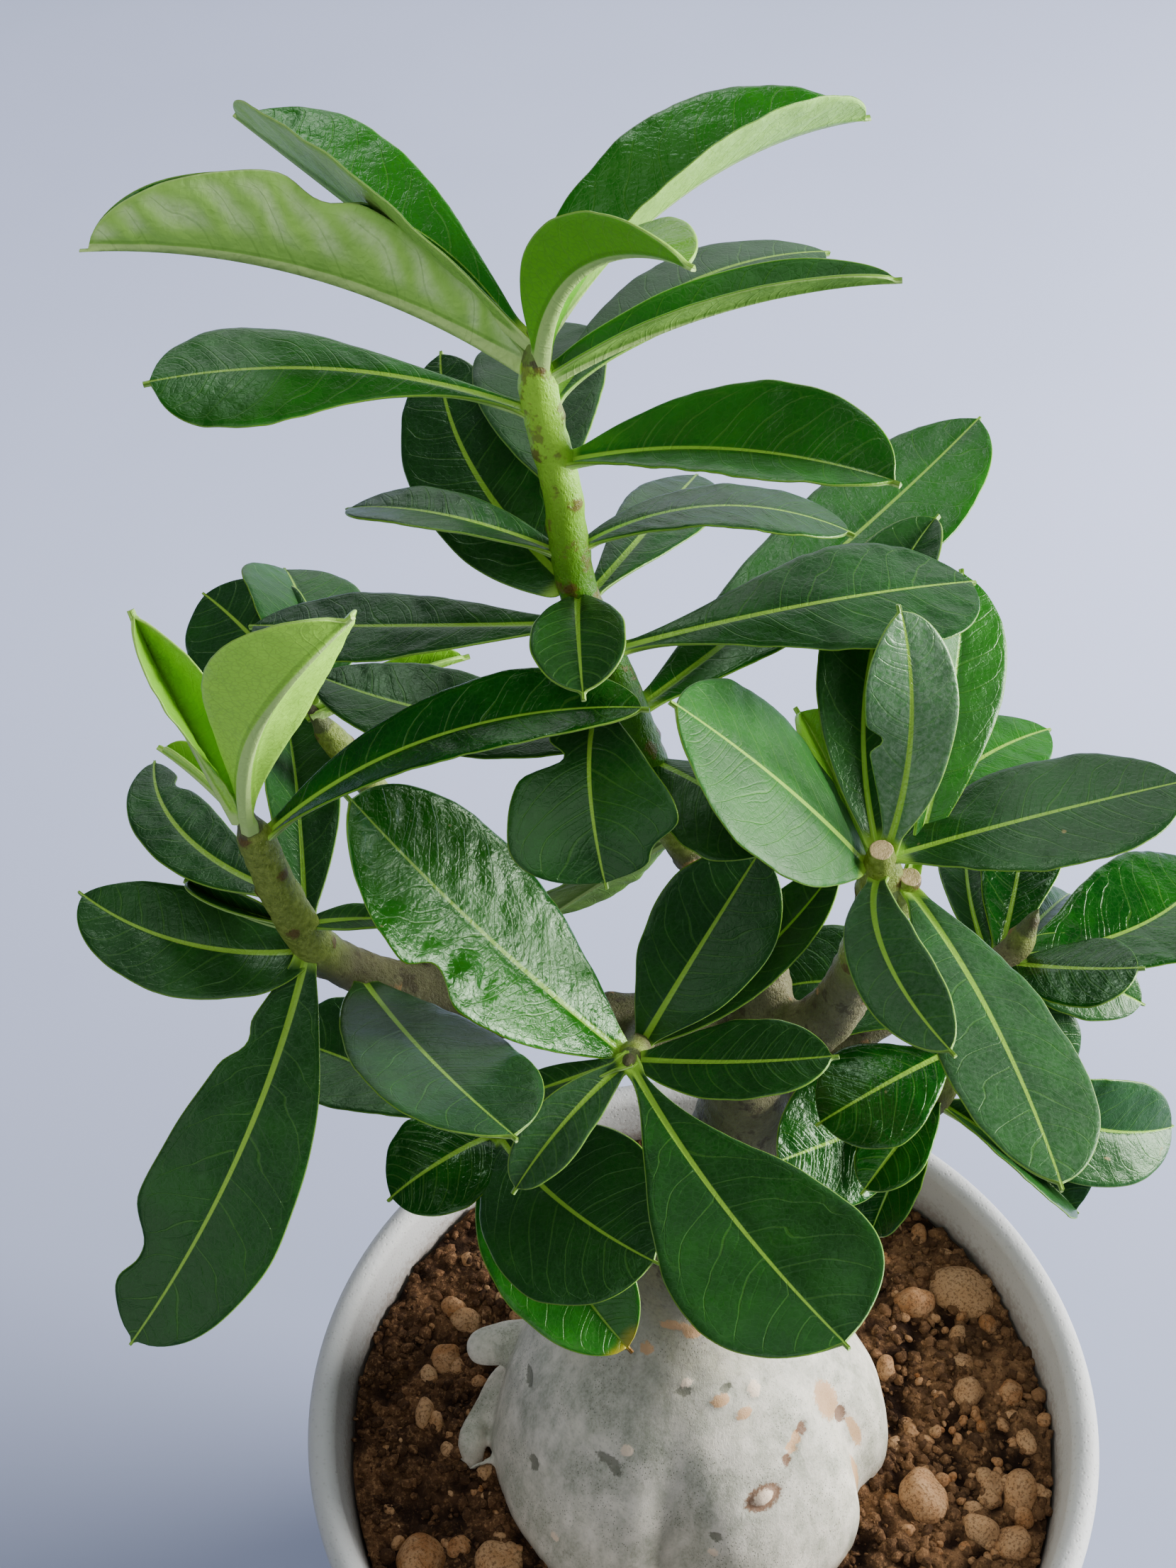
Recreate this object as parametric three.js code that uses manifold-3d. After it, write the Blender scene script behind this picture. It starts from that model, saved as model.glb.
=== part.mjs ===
// Potted desert rose: a round pot, soil with stones, a swollen grey base that forks into bare branches,
// and eight leafy shoots. Millimetres, +Z up, origin at the centre of the pot's flat underside.
import * as THREE from 'three';
import { mergeVertices } from 'three/addons/utils/BufferGeometryUtils.js';
import Module from 'manifold-3d';

const wasm = await Module();
wasm.setup();

// Driving dimensions of the pot and the soil
const POT_HEIGHT = 190;
const POT_RIM_RADIUS = 110;
const POT_FOOT_RADIUS = 82;
const POT_WALL = 7.8;
const POT_FLOOR = 10;
const FOOT_ROUNDING = 3;
const POT_SIDES = 48;
const DRAIN_HOLES = 5;
const DRAIN_RADIUS = 6;
const DRAIN_RING_RADIUS = 42;
const SOIL_TOP = 172;
const SOIL_SIDES = 32;
const GAP = 0.3; // between neighbouring pieces that touch

// Driving dimensions of the leaves and stems
const BLADE = 0.7; // thickness of a leaf at its margin
const RIB = 1.5; // thickness of a leaf at its midrib
const STALK_HALF = 1.2; // half the width of a leaf's stalk
const TIP_HALF = 0.3; // half the width of a leaf's tip
const TIP_ROUNDING = 0.6; // the lower, the blunter the leaf narrows to its tip
const ROOT_DEPTH = 1.5; // how deep a stalk starts below the stem's bark
const ROOT_LENGTH = 2.5; // how far the stalk runs on into the stem
const LONG_LEAF = 45; // leaves longer than this get more stations
const STEM_SIDES = 8;
const STEM_STEP = 8;
const TRUNK_SIDES = 16;

// Swollen base: radius and height of its outline, from deep in the soil up to the neck
const BASE_OUTLINE = [
  [18, 108], [42, 132], [54, 158], [56, 180], [50, 202], [40, 222], [27, 240], [18, 254], [12, 266],
];
const BASE_RINGS = 13;
const BASE_SIDES = 30;
const BASE_CENTRE = [-3, -8]; // x at the soil and at the neck
const BASE_LEAN = [185, 250]; // heights between which the centre moves over
// Upright folds between the base's lobes, by compass turn, width in degrees and depth
const FOLDS = [
  { turn: -95, width: 16, depth: 5 }, { turn: -36, width: 12, depth: 4 }, { turn: 30, width: 20, depth: 3 },
  { turn: 95, width: 16, depth: 4 }, { turn: 155, width: 18, depth: 3 },
];
const FOLD_TOP = 228; // folds fade out up to this height
const FOLD_FULL = 178; // and are at full depth below this one

// Routes of the wood, each a smooth curve through its points, with the radius at each end
const TRUNK = {
  route: [[-8, 0, 250], [-5, 0, 270], [2, 0, 296], [8, 2, 326], [8, 3, 349]], radius: [16.5, 9],
};
const ROOTS = [
  { route: [[-44, 17, 194], [-52, 16, 196], [-60, 15, 196]], radius: [7, 5] },
  { route: [[-48, 15, 184], [-55, 13, 182], [-62, 4, 177], [-65, -2, 176], [-65, -6, 171]], radius: [4, 3.6] },
  { route: [[-50, -6, 177], [-58, -9, 177], [-65, -11, 176]], radius: [1.2, 0.9] },
];

// Leaves of each stem. A leaf has its distance below the stem's tip, its stalk's compass turn and rise, its
// length and greatest width, the fold between its halves, how far its rise (bend) and turn (sweep) change
// along it, its roll about its own rib, and how far along it is widest (peak). Angles are in degrees.
const TOP_LEAVES = [
  { down: 0, turn: 154, rise: 34, long: 69, wide: 30, fold: 30, bend: -30, sweep: -24, roll: 28 },
  { down: 7, turn: 164, rise: 33, long: 81, wide: 34, fold: 60, bend: -35, sweep: 15, roll: 20, peak: 0.55 },
  { down: 14, turn: 170, rise: 20, long: 69, wide: 30, fold: -5, bend: -25, sweep: 20, peak: 0.8 },
  { down: 1, turn: 40, rise: 40, long: 76, wide: 32, fold: 35, bend: -50, sweep: -15, roll: -20, peak: 0.55 },
  { down: 3, turn: -51, rise: 82, long: 58, wide: 20, fold: 35, bend: -75, roll: -25 },
  { down: 8, turn: 7, rise: 28, long: 64, wide: 11, fold: 50, bend: -25, sweep: -10, roll: -5, peak: 0.55 },
  { down: 14, turn: 59, rise: 13, long: 76, wide: 22, fold: -5, bend: -30, sweep: -35, roll: -5, peak: 0.7 },
  { down: 24, turn: -17, rise: 24, long: 65, wide: 26, fold: 10, bend: -20, sweep: -20, roll: 5 },
  { down: 44, turn: 165, rise: 22, long: 46, wide: 17, fold: 8, bend: -49, sweep: -16, roll: 15 },
  { down: 52, turn: 137, rise: 18, long: 67, wide: 24, bend: -15, sweep: -48, roll: -20, peak: 0.5 },
  { down: 32, turn: 100, rise: 9, long: 59, wide: 26, fold: 5, bend: -25, sweep: -15, roll: -10 },
  { down: 43, turn: 26, rise: 15, long: 54, wide: 23, bend: -35, sweep: -45, roll: -20 },
  { down: 55, turn: 58, rise: -1, long: 60, wide: 18, fold: -5, bend: -25, sweep: 15, peak: 0.7 },
  { down: 60, turn: 176, rise: -3, long: 70, wide: 22, bend: -15, sweep: -20, roll: 5, peak: 0.7 },
  { down: 52, turn: -92, rise: 34, long: 34, wide: 17, fold: 15, bend: -50, sweep: 5, roll: 5, peak: 0.7 },
  { down: 67, turn: 7, rise: 12, long: 77, wide: 32, bend: -30, sweep: 17, roll: -2, peak: 0.74 },
  { down: 83, turn: 43, rise: 0, long: 118, wide: 30, bend: 2, sweep: 8 },
  { down: 73, turn: -112, rise: 18, long: 52, wide: 32, fold: 15, bend: -65, sweep: 40, roll: 15, peak: 0.75 },
  { down: 94, turn: -41, rise: 10, long: 35, wide: 27, fold: -10, bend: -22, sweep: -10, roll: -10 },
  { down: 87, turn: 181, rise: 3, long: 67, wide: 24, fold: 5, bend: -5, sweep: -35, roll: 5, peak: 0.55 },
  { down: 119, turn: 160, rise: -52, long: 57, wide: 23, bend: -5, sweep: -25, roll: 35, peak: 0.6 },
];
const LEFT_LEAVES = [
  { down: 1, turn: -75, rise: 75, long: 84, wide: 26, fold: 25, bend: -25, sweep: 65, roll: -40, peak: 0.75 },
  { down: 0, turn: 166, rise: 75, long: 48, wide: 24, fold: 65, bend: -10, sweep: -40, roll: -10, peak: 0.6 },
  { down: 0, turn: 138, rise: 24, long: 21, wide: 8, fold: 60, bend: -20, sweep: 5, roll: 10 },
  { down: 24, turn: 150, rise: -3, long: 60, wide: 15, bend: -15, sweep: -55, peak: 0.55 },
  { down: 7, turn: 8, rise: 45, long: 84, wide: 20, fold: 14, bend: -44, sweep: -16, roll: -2, peak: 0.66 },
  { down: 39, turn: 93, rise: 13, long: 69, wide: 19, fold: 30, bend: -20, sweep: 10, roll: 20, peak: 0.6 },
  { down: 46, turn: 194, rise: 9, long: 52, wide: 24, fold: 5, sweep: -55, roll: -10, peak: 0.5 },
  { down: 36, turn: 172, rise: 13, long: 26, wide: 10, fold: 65, bend: -20, sweep: -40, roll: -20, peak: 0.6 },
  { down: 36, turn: 3, rise: 7, long: 19, wide: 6, fold: 15, bend: -20, peak: 0.6 },
  { down: 43, turn: -110, rise: -41, long: 93, wide: 31, bend: 0, sweep: -33, roll: -25 },
  { down: 59, turn: -68, rise: 26, long: 74, wide: 34, fold: 5, bend: -10, sweep: 15, roll: -20 },
];
const BACK_LEFT_LEAVES = [
  { down: 0, turn: 121, rise: 7, long: 50, wide: 27, bend: -20, sweep: 5, roll: -20, peak: 0.6 },
  { down: 0, turn: 92, rise: 22, long: 46, wide: 28, fold: 15, bend: -40, sweep: 20, roll: 25 },
  { down: 0, turn: 11, rise: 21, long: 34, wide: 9, fold: 60, bend: -20, sweep: 10, roll: 5 },
  { down: 30, turn: -62, rise: -2, long: 34, wide: 18, fold: 10, bend: -15, sweep: 20, roll: 5, peak: 0.6 },
];
const FRONT_LEAVES = [
  { down: 6, turn: 164, rise: 44, long: 84, wide: 37, fold: 5, bend: 10, sweep: -5, roll: -5, peak: 0.6 },
  { down: 14, turn: 32, rise: 58, long: 52, wide: 25, fold: 8, bend: -15, sweep: 10, roll: 38 },
  { down: 20, turn: 8, rise: 35, long: 58, wide: 15, fold: 15, bend: -9, sweep: 41, peak: 0.56 },
  { down: 4, turn: -28, rise: 26, long: 44, wide: 19, fold: 5, bend: -15, sweep: 25, peak: 0.6 },
  { down: 1, turn: -71, rise: 9, long: 82, wide: 39, fold: 5, sweep: 15, peak: 0.75 },
  { down: 1, turn: -141, rise: -7, long: 35, wide: 12, fold: 20, bend: -25, sweep: 10, roll: -20 },
  { down: 0, turn: -170, rise: -14, long: 30, wide: 8, fold: 15, bend: -20, sweep: -15, roll: 5 },
];
const LOW_LEFT_LEAVES = [
  { down: 2, turn: 148, rise: 5, long: 63, wide: 31, fold: 15, bend: -20, roll: -5, peak: 0.7 },
  { down: 1, turn: -67, rise: 20, long: 56, wide: 40, fold: 8, bend: -17, sweep: 34, roll: 24, peak: 0.62 },
  { down: 1, turn: -138, rise: 30, long: 30, wide: 24, bend: -70, sweep: -20, roll: -10, peak: 0.55 },
  { down: 4, turn: -78, rise: -5, long: 57, wide: 30, fold: 20, bend: -17, sweep: 34, roll: 20, peak: 0.55 },
];
const RIGHT_LEAVES = [
  { down: 5, turn: 173, rise: 55, long: 57, wide: 38, fold: -5, bend: -15, roll: -5, peak: 0.55 },
  { down: 2, turn: 54, rise: 62, long: 49, wide: 17, fold: 5, bend: -3, sweep: 64, roll: 2 },
  { down: 3, turn: 101, rise: 33, long: 77, wide: 21, fold: 25, bend: -23, sweep: -52, roll: -5, peak: 0.6 },
  { down: 3, turn: 13, rise: 7, long: 60, wide: 33, sweep: -6, roll: -12, peak: 0.6 },
  { down: 3, turn: 58, rise: -4, long: 63, wide: 21, bend: -18, sweep: -22, roll: 6, peak: 0.6 },
  { down: 6, turn: -108, rise: 25, long: 55, wide: 14, fold: 10, bend: -25, sweep: 50, roll: 18 },
  { down: 13, turn: 110, rise: 36, long: 38, wide: 20, fold: 39, bend: -14, sweep: 8, roll: 12 },
];
const RIGHT_SIDE_LEAVES = [
  { down: 2, turn: 66, rise: 38, long: 65, wide: 21, fold: 22, bend: -20, sweep: 17, roll: 42, peak: 0.7 },
  { down: 3, turn: -74, rise: 16, long: 79, wide: 25, bend: -15, sweep: -10, roll: -10 },
];
const LOW_RIGHT_LEAVES = [
  { down: 0, turn: 137, rise: 22, long: 44, wide: 30, fold: 2, bend: -50, sweep: 42, roll: -10, peak: 0.7 },
  { down: 4, turn: -145, rise: 16, long: 37, wide: 26, fold: -5, bend: -40, sweep: -14 },
  { down: 26, turn: -152, rise: 12, long: 42, wide: 29, fold: 5, roll: -35, peak: 0.6 },
  { down: 20, turn: -128, rise: 5, long: 31, wide: 15, fold: 12, bend: -25, sweep: -5, roll: -4 },
  { down: 24, turn: -126, rise: -34, long: 35, wide: 18, fold: 30, bend: -25, roll: 5, peak: 0.6 },
  { down: 24, turn: -22, rise: -25, long: 45, wide: 29, fold: 45, bend: -20, sweep: -5, roll: 5 },
  { down: 9, turn: -31, rise: -28, long: 65, wide: 26, fold: 15, sweep: 65, roll: 55 },
];
const FAR_RIGHT_LEAVES = [
  { down: 14, turn: -33, rise: 23, long: 32, wide: 22, fold: -5, bend: -5, sweep: 20, roll: -5 },
  { down: 13, turn: -1, rise: 5, long: 69, wide: 36, fold: 14, bend: -25, sweep: 67, roll: -3 },
  { down: 14, turn: -5, rise: -12, long: 37, wide: 18, fold: 5, bend: -25, roll: 32, peak: 0.52 },
  { down: 15, turn: 69, rise: 15, long: 51, wide: 21, fold: 20, bend: -25, sweep: 10, roll: -5 },
  { down: 17, turn: 100, rise: 4, long: 52, wide: 14, fold: 20, bend: -20, sweep: -30 },
  { down: 13, turn: 53, rise: -13, long: 44, wide: 14, fold: 20, bend: -25, sweep: 5, peak: 0.6 },
  { down: 16, turn: -36, rise: -40, long: 34, wide: 16, fold: 20, bend: -20, peak: 0.6 },
];

// The shoots. Each stem is bare wood up to "leafy" mm below its tip, and leafy from there on. Its radius is
// given at its root, where its leafy part starts and at its tip. A cut stem ends flat.
const SHOOTS = [
  {
    name: 'top_shoot', color: '#3d7034',
    stems: [
      {
        route: [
          [8, 3, 345], [12, 9, 362], [6, 13, 388], [-6, 11, 413], [-13, 11, 436], [-19, 14, 457],
          [-26, 17, 479], [-28, 20, 499], [-31, 23, 515], [-32, 25, 529],
        ],
        radius: [8, 4.2, 3.4], leafy: 124, leaves: TOP_LEAVES,
      },
    ],
  },
  {
    name: 'left_shoot', color: '#4a7d36',
    stems: [
      {
        route: [
          [8, 3, 345], [-7, 2, 360], [-22, 0, 366], [-35, 0, 368], [-47, 0, 372], [-59, 0, 378],
          [-69, 0, 383], [-78, 0, 389], [-84, -2, 400], [-88, -4, 418], [-90, -4, 431], [-92, -4, 442],
        ],
        radius: [8, 4.8, 3.6], leafy: 65, leaves: LEFT_LEAVES,
      },
    ],
  },
  {
    name: 'back_left_shoot', color: '#3f6f38',
    stems: [
      {
        route: [
          [-59, 0, 378], [-64, 14, 384], [-66, 34, 391], [-83, 40, 425],
        ],
        radius: [4.4, 3.4, 3], leafy: 45, leaves: BACK_LEFT_LEAVES,
      },
    ],
  },
  {
    name: 'front_cluster', color: '#2f6b2c',
    stems: [
      {
        route: [
          [-15, 0, 364], [-17, -14, 376], [-19, -26, 387],
        ],
        radius: [4.8, 3.9, 3.6], leafy: 24, leaves: FRONT_LEAVES,
      },
    ],
  },
  {
    name: 'low_left_shoot', color: '#2a5c2a',
    stems: [
      {
        route: [
          [-1, -1, 285], [-12, -2, 298], [-23, -3, 312], [-37, -3, 322], [-50, -3, 330],
        ],
        radius: [6, 3.8, 3.4], leafy: 14, leaves: LOW_LEFT_LEAVES,
      },
    ],
  },
  {
    name: 'right_cluster', color: '#356a38',
    stems: [
      {
        route: [
          [8, 3, 345], [17, 0, 356], [26, -2, 369], [31, -5, 392], [32, -10, 417], [31, -12, 434],
        ],
        radius: [8, 5.4, 4.5], leafy: 52, cut: true, leaves: RIGHT_LEAVES,
      },
      {
        route: [
          [31, -5, 394], [35, -9, 412], [37, -13, 427],
        ],
        radius: [4, 4, 3.8], leafy: 100, cut: true, leaves: RIGHT_SIDE_LEAVES,
      },
    ],
  },
  {
    name: 'low_right_shoot', color: '#39713a',
    stems: [
      {
        route: [
          [5, 0, 300], [24, 1, 309], [41, 3, 318], [52, 3, 326], [56, 4, 338], [56, 4, 350],
        ],
        radius: [6.5, 3.9, 3.4], leafy: 34, leaves: LOW_RIGHT_LEAVES,
      },
    ],
  },
  {
    name: 'far_right_shoot', color: '#427541',
    stems: [
      {
        route: [
          [6, 2, 322], [28, 9, 340], [52, 17, 349], [70, 23, 355], [75, 25, 366],
        ],
        radius: [5.5, 3.6, 3.2], leafy: 24, leaves: FAR_RIGHT_LEAVES,
      },
    ],
  },
];

// Stones that stand out in the soil: place and size across. More lie between them, drawn with a fixed seed.
const STONES = [
  [66, 37, 11], [80, 40, 15], [78, 9, 9], [60, -1, 7], [92, -7, 9], [61, -20, 15], [87, -21, 12], [75, -32, 8],
  [82, -38, 12], [88, 30, 7], [70, 60, 8], [-78, 7, 12], [-73, 25, 8], [-67, 38, 10], [-56, 45, 8],
  [-57, -36, 12], [-68, -31, 7], [-79, -38, 17],
];
const SMALL_STONE = 9; // stones up to this size have fewer faces
const SCATTERED_STONES = 18;
const STONE_SEED = 11;

const rad = THREE.MathUtils.degToRad;
const { lerp, smoothstep, clamp } = THREE.MathUtils;

// Solids and meshes

function geometryFrom(positions, faces) {
  const geometry = new THREE.BufferGeometry();
  const numbers = positions.flatMap((point) => point.toArray());
  geometry.setAttribute('position', new THREE.Float32BufferAttribute(numbers, 3));
  geometry.setIndex(faces.flat());
  return geometry;
}

function solid(geometry) {
  const bare = geometry.clone();
  bare.deleteAttribute('normal');
  bare.deleteAttribute('uv');
  const merged = mergeVertices(bare, 1e-3);
  return new wasm.Manifold(new wasm.Mesh({
    numProp: 3,
    vertProperties: new Float32Array(merged.attributes.position.array),
    triVerts: new Uint32Array(merged.index.array),
  }));
}

function union(solids) {
  return solids.reduce((whole, next) => whole.add(next));
}

function meshOf(name, body, color, roughness) {
  const { vertProperties, triVerts } = body.getMesh();
  const geometry = new THREE.BufferGeometry();
  geometry.setAttribute('position', new THREE.Float32BufferAttribute(vertProperties, 3));
  geometry.setIndex([...triVerts]);
  geometry.computeVertexNormals();
  const mesh = new THREE.Mesh(geometry, new THREE.MeshStandardMaterial({ color, roughness, metalness: 0 }));
  mesh.name = name;
  return mesh;
}

// A closed body through rings that all have the same number of points
function loft(rings) {
  const sides = rings[0].length;
  const centre = (ring) => ring.reduce((sum, p) => sum.add(p), new THREE.Vector3()).divideScalar(sides);
  const points = [...rings.flat(), centre(rings[0]), centre(rings.at(-1))];
  const at = (ring, side) => ring * sides + (side % sides);
  const [start, end] = [points.length - 2, points.length - 1];
  const last = rings.length - 1;
  const faces = [];
  for (let j = 0; j < sides; j += 1) {
    for (let i = 0; i < last; i += 1) {
      faces.push([at(i, j), at(i, j + 1), at(i + 1, j)]);
      faces.push([at(i, j + 1), at(i + 1, j + 1), at(i + 1, j)]);
    }
    faces.push([start, at(0, j + 1), at(0, j)]);
    faces.push([end, at(last, j), at(last, j + 1)]);
  }
  return geometryFrom(points, faces);
}

function smoothCurve(points) {
  const curve = new THREE.CatmullRomCurve3(points.map((p) => new THREE.Vector3(...p)), false, 'catmullrom');
  curve.arcLengthDivisions = 400;
  return curve;
}

// A round limb along part of a curve, from one share of its length to another. Its end is cut flat, or
// rounded off beyond the curve's end.
function limb(curve, radiusAt, sides, from = 0, to = 1, rounded = false) {
  const steps = Math.max(2, Math.round((curve.getLength() * (to - from)) / STEM_STEP));
  const fine = 100;
  const frames = curve.computeFrenetFrames(fine);
  const ring = (share, radius, beyond = 0) => {
    const frame = Math.round(share * fine);
    const middle = curve.getPointAt(share).addScaledVector(frames.tangents[frame], beyond);
    return Array.from({ length: sides }, (_, k) => {
      const angle = (2 * Math.PI * k) / sides;
      return middle.clone()
        .addScaledVector(frames.normals[frame], radius * Math.cos(angle))
        .addScaledVector(frames.binormals[frame], radius * Math.sin(angle));
    });
  };
  const rings = Array.from({ length: steps + 1 }, (_, k) => {
    const share = lerp(from, to, k / steps);
    return ring(share, radiusAt(share));
  });
  const tip = radiusAt(to);
  if (rounded) rings.push(ring(to, tip * 0.75, tip * 0.65), ring(to, tip * 0.35, tip * 0.95));
  return solid(loft(rings));
}

// Pot, turned, with drain holes beside its solid middle

function potInsideRadius(height) {
  return lerp(POT_FOOT_RADIUS, POT_RIM_RADIUS, height / POT_HEIGHT) - POT_WALL;
}

function pot() {
  const half = POT_WALL / 2;
  const rim = Array.from({ length: 7 }, (_, k) => {
    const angle = (Math.PI * k) / 6;
    return [POT_RIM_RADIUS - half + half * Math.cos(angle), POT_HEIGHT - half + half * Math.sin(angle)];
  });
  const outline = [
    [0, 0], [POT_FOOT_RADIUS - FOOT_ROUNDING, 0], [POT_FOOT_RADIUS, FOOT_ROUNDING], ...rim,
    [potInsideRadius(POT_FLOOR), POT_FLOOR], [0, POT_FLOOR],
  ].map(([radius, height]) => new THREE.Vector2(radius, height));
  const turned = new THREE.LatheGeometry(outline, POT_SIDES);
  turned.rotateX(Math.PI / 2);
  const holes = Array.from({ length: DRAIN_HOLES }, (_, k) => {
    const hole = new THREE.CylinderGeometry(DRAIN_RADIUS, DRAIN_RADIUS, POT_FLOOR * 3, 16);
    hole.rotateX(Math.PI / 2);
    const angle = (2 * Math.PI * k) / DRAIN_HOLES;
    hole.translate(DRAIN_RING_RADIUS * Math.cos(angle), DRAIN_RING_RADIUS * Math.sin(angle), 0);
    return solid(hole);
  });
  return solid(turned).subtract(union(holes));
}

// Swollen base, with folds between its lobes
function swollenBase(grow) {
  const outline = new THREE.SplineCurve(BASE_OUTLINE.map((point) => new THREE.Vector2(...point)));
  const foldAt = (turn, height) => FOLDS.reduce((depth, fold) => {
    const off = THREE.MathUtils.euclideanModulo(turn - fold.turn + 180, 360) - 180;
    return depth + fold.depth * Math.exp(-((off / fold.width) ** 2));
  }, 0) * (1 - smoothstep(height, FOLD_FULL, FOLD_TOP));
  const rings = Array.from({ length: BASE_RINGS + 1 }, (_, k) => {
    const { x: radius, y: height } = outline.getPoint(k / BASE_RINGS);
    const middle = lerp(...BASE_CENTRE, smoothstep(height, ...BASE_LEAN));
    return Array.from({ length: BASE_SIDES }, (_unused, side) => {
      const turn = (360 * side) / BASE_SIDES;
      const reach = radius + grow - foldAt(turn, height);
      const lift = k === 0 ? -grow : 0;
      const [x, y] = [middle + reach * Math.cos(rad(turn)), reach * Math.sin(rad(turn))];
      return new THREE.Vector3(x, y, height + lift);
    });
  });
  return solid(loft(rings));
}

// Soil, uneven on top, with stones lying in it

function soilHeight(x, y) {
  const wave = Math.sin(x / 13 + 0.8) * Math.cos(y / 11) + 0.7 * Math.sin(y / 17 - x / 23 + 2);
  return SOIL_TOP + 1.3 * wave;
}

function soilBody() {
  const wallGap = GAP / Math.cos(Math.PI / POT_SIDES) + 0.4;
  const ring = (radius, heightAt) => Array.from({ length: SOIL_SIDES }, (_, k) => {
    const angle = (2 * Math.PI * k) / SOIL_SIDES;
    const [x, y] = [radius * Math.cos(angle), radius * Math.sin(angle)];
    return new THREE.Vector3(x, y, heightAt(x, y));
  });
  const bottom = POT_FLOOR + GAP;
  const shoulder = SOIL_TOP - 4;
  const top = [96, 82, 66, 40].map((radius) => ring(radius, soilHeight));
  return solid(loft([
    ring(potInsideRadius(bottom) - wallGap, () => bottom),
    ring(potInsideRadius(shoulder) - wallGap, () => shoulder),
    ...top,
  ]));
}

// Park-Miller draw between 0 and 1
function seededDraw(seed) {
  let state = seed;
  return () => {
    state = (state * 16807) % 2147483647;
    return state / 2147483647;
  };
}

function stone(x, y, across, draw) {
  const Shape = across > SMALL_STONE ? THREE.DodecahedronGeometry : THREE.IcosahedronGeometry;
  const geometry = new Shape(across / 2);
  geometry.scale(1, lerp(0.7, 0.95, draw()), lerp(0.55, 0.75, draw()));
  geometry.rotateX(lerp(-0.3, 0.3, draw()));
  geometry.rotateZ(2 * Math.PI * draw());
  geometry.translate(x, y, soilHeight(x, y) + across * 0.08);
  return solid(geometry);
}

function stones() {
  const draw = seededDraw(STONE_SEED);
  const placed = STONES.map(([x, y, across]) => stone(x, y, across, draw));
  const scattered = Array.from({ length: SCATTERED_STONES }, () => {
    const angle = 2 * Math.PI * draw();
    const radius = lerp(61, 92, draw());
    return stone(radius * Math.cos(angle), radius * Math.sin(angle), lerp(4, 9, draw() ** 2), draw);
  });
  return [...placed, ...scattered];
}

// Leaves

function heading(turn, rise) {
  return new THREE.Vector3(
    Math.cos(rad(rise)) * Math.cos(rad(turn)), Math.cos(rad(rise)) * Math.sin(rad(turn)), Math.sin(rad(rise)),
  );
}

// Half the leaf's width at a share s of its length: a stalk that opens into a blade and closes at the tip
function halfWidth(s, wide, peak) {
  const opening = (TIP_ROUNDING * peak) / (1 - peak);
  const outline = (share) => share ** opening * (1 - share) ** TIP_ROUNDING;
  return lerp(STALK_HALF, TIP_HALF, s) + ((wide / 2) * outline(s)) / outline(peak);
}

// A thin closed sheet from matching rows of points on its upper and lower face, split alike on both
function sheet(upper, lower) {
  const [rows, columns] = [upper.length, upper[0].length];
  const points = [...upper.flat(), ...lower.flat()];
  const up = (i, j) => i * columns + j;
  const low = (i, j) => (rows + i) * columns + j;
  const faces = [];
  const quad = (a, b, c, d) => faces.push([a, b, d], [b, c, d]);
  for (let i = 0; i < rows - 1; i += 1) {
    for (let j = 0; j < columns - 1; j += 1) {
      quad(up(i, j), up(i, j + 1), up(i + 1, j + 1), up(i + 1, j));
      faces.push([low(i, j), low(i + 1, j), low(i, j + 1)]);
      faces.push([low(i, j + 1), low(i + 1, j), low(i + 1, j + 1)]);
    }
    quad(up(i, 0), up(i + 1, 0), low(i + 1, 0), low(i, 0));
    quad(low(i, columns - 1), low(i + 1, columns - 1), up(i + 1, columns - 1), up(i, columns - 1));
  }
  for (let j = 0; j < columns - 1; j += 1) {
    quad(low(0, j), low(0, j + 1), up(0, j + 1), up(0, j));
    quad(up(rows - 1, j), up(rows - 1, j + 1), low(rows - 1, j + 1), low(rows - 1, j));
  }
  return geometryFrom(points, faces);
}

function leaf(stemPoint, stemRadius, {
  turn, rise, long, wide, fold = 0, bend = 0, sweep = 0, roll = 0, peak = 0.65,
}) {
  const stations = long > LONG_LEAF ? 7 : 5;
  const substeps = 3;
  const step = long / (stations * substeps);
  const rib = stemPoint.clone().addScaledVector(heading(turn, 0), stemRadius - ROOT_DEPTH);
  const upper = [];
  const lower = [];
  const addRow = (s, middle) => {
    const [turned, risen] = [turn + sweep * s, rise + bend * s];
    const flatSide = heading(turned + 90, 0);
    const flatUp = heading(turned, risen + 90);
    const rolled = new THREE.Quaternion().setFromAxisAngle(heading(turned, risen), rad(roll));
    const across = flatSide.applyQuaternion(rolled);
    const above = flatUp.applyQuaternion(rolled);
    const half = halfWidth(s, wide, peak);
    const place = (side, thickness) => {
      const [c, f] = [Math.cos(rad(fold)), Math.sin(rad(fold))];
      const edge = side === 0 ? 1 / c : c;
      return middle.clone()
        .addScaledVector(across, side * (half * c) - side * f * thickness)
        .addScaledVector(above, Math.abs(side) * half * f + edge * thickness);
    };
    upper.push([1, 0, -1].map((side) => place(side, BLADE / 2)));
    lower.push([1, 0, -1].map((side) => place(side, side === 0 ? BLADE / 2 - RIB : -BLADE / 2)));
  };
  addRow(0, rib.clone().addScaledVector(heading(turn, rise), -ROOT_LENGTH));
  for (let k = 1; k <= stations * substeps; k += 1) {
    const s = (k - 0.5) / (stations * substeps);
    rib.addScaledVector(heading(turn + sweep * s, rise + bend * s), step);
    if (k % substeps === 0) addRow(k / (stations * substeps), rib);
  }
  return solid(sheet(upper, lower));
}

// Stems, bare below and leafy above

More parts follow.
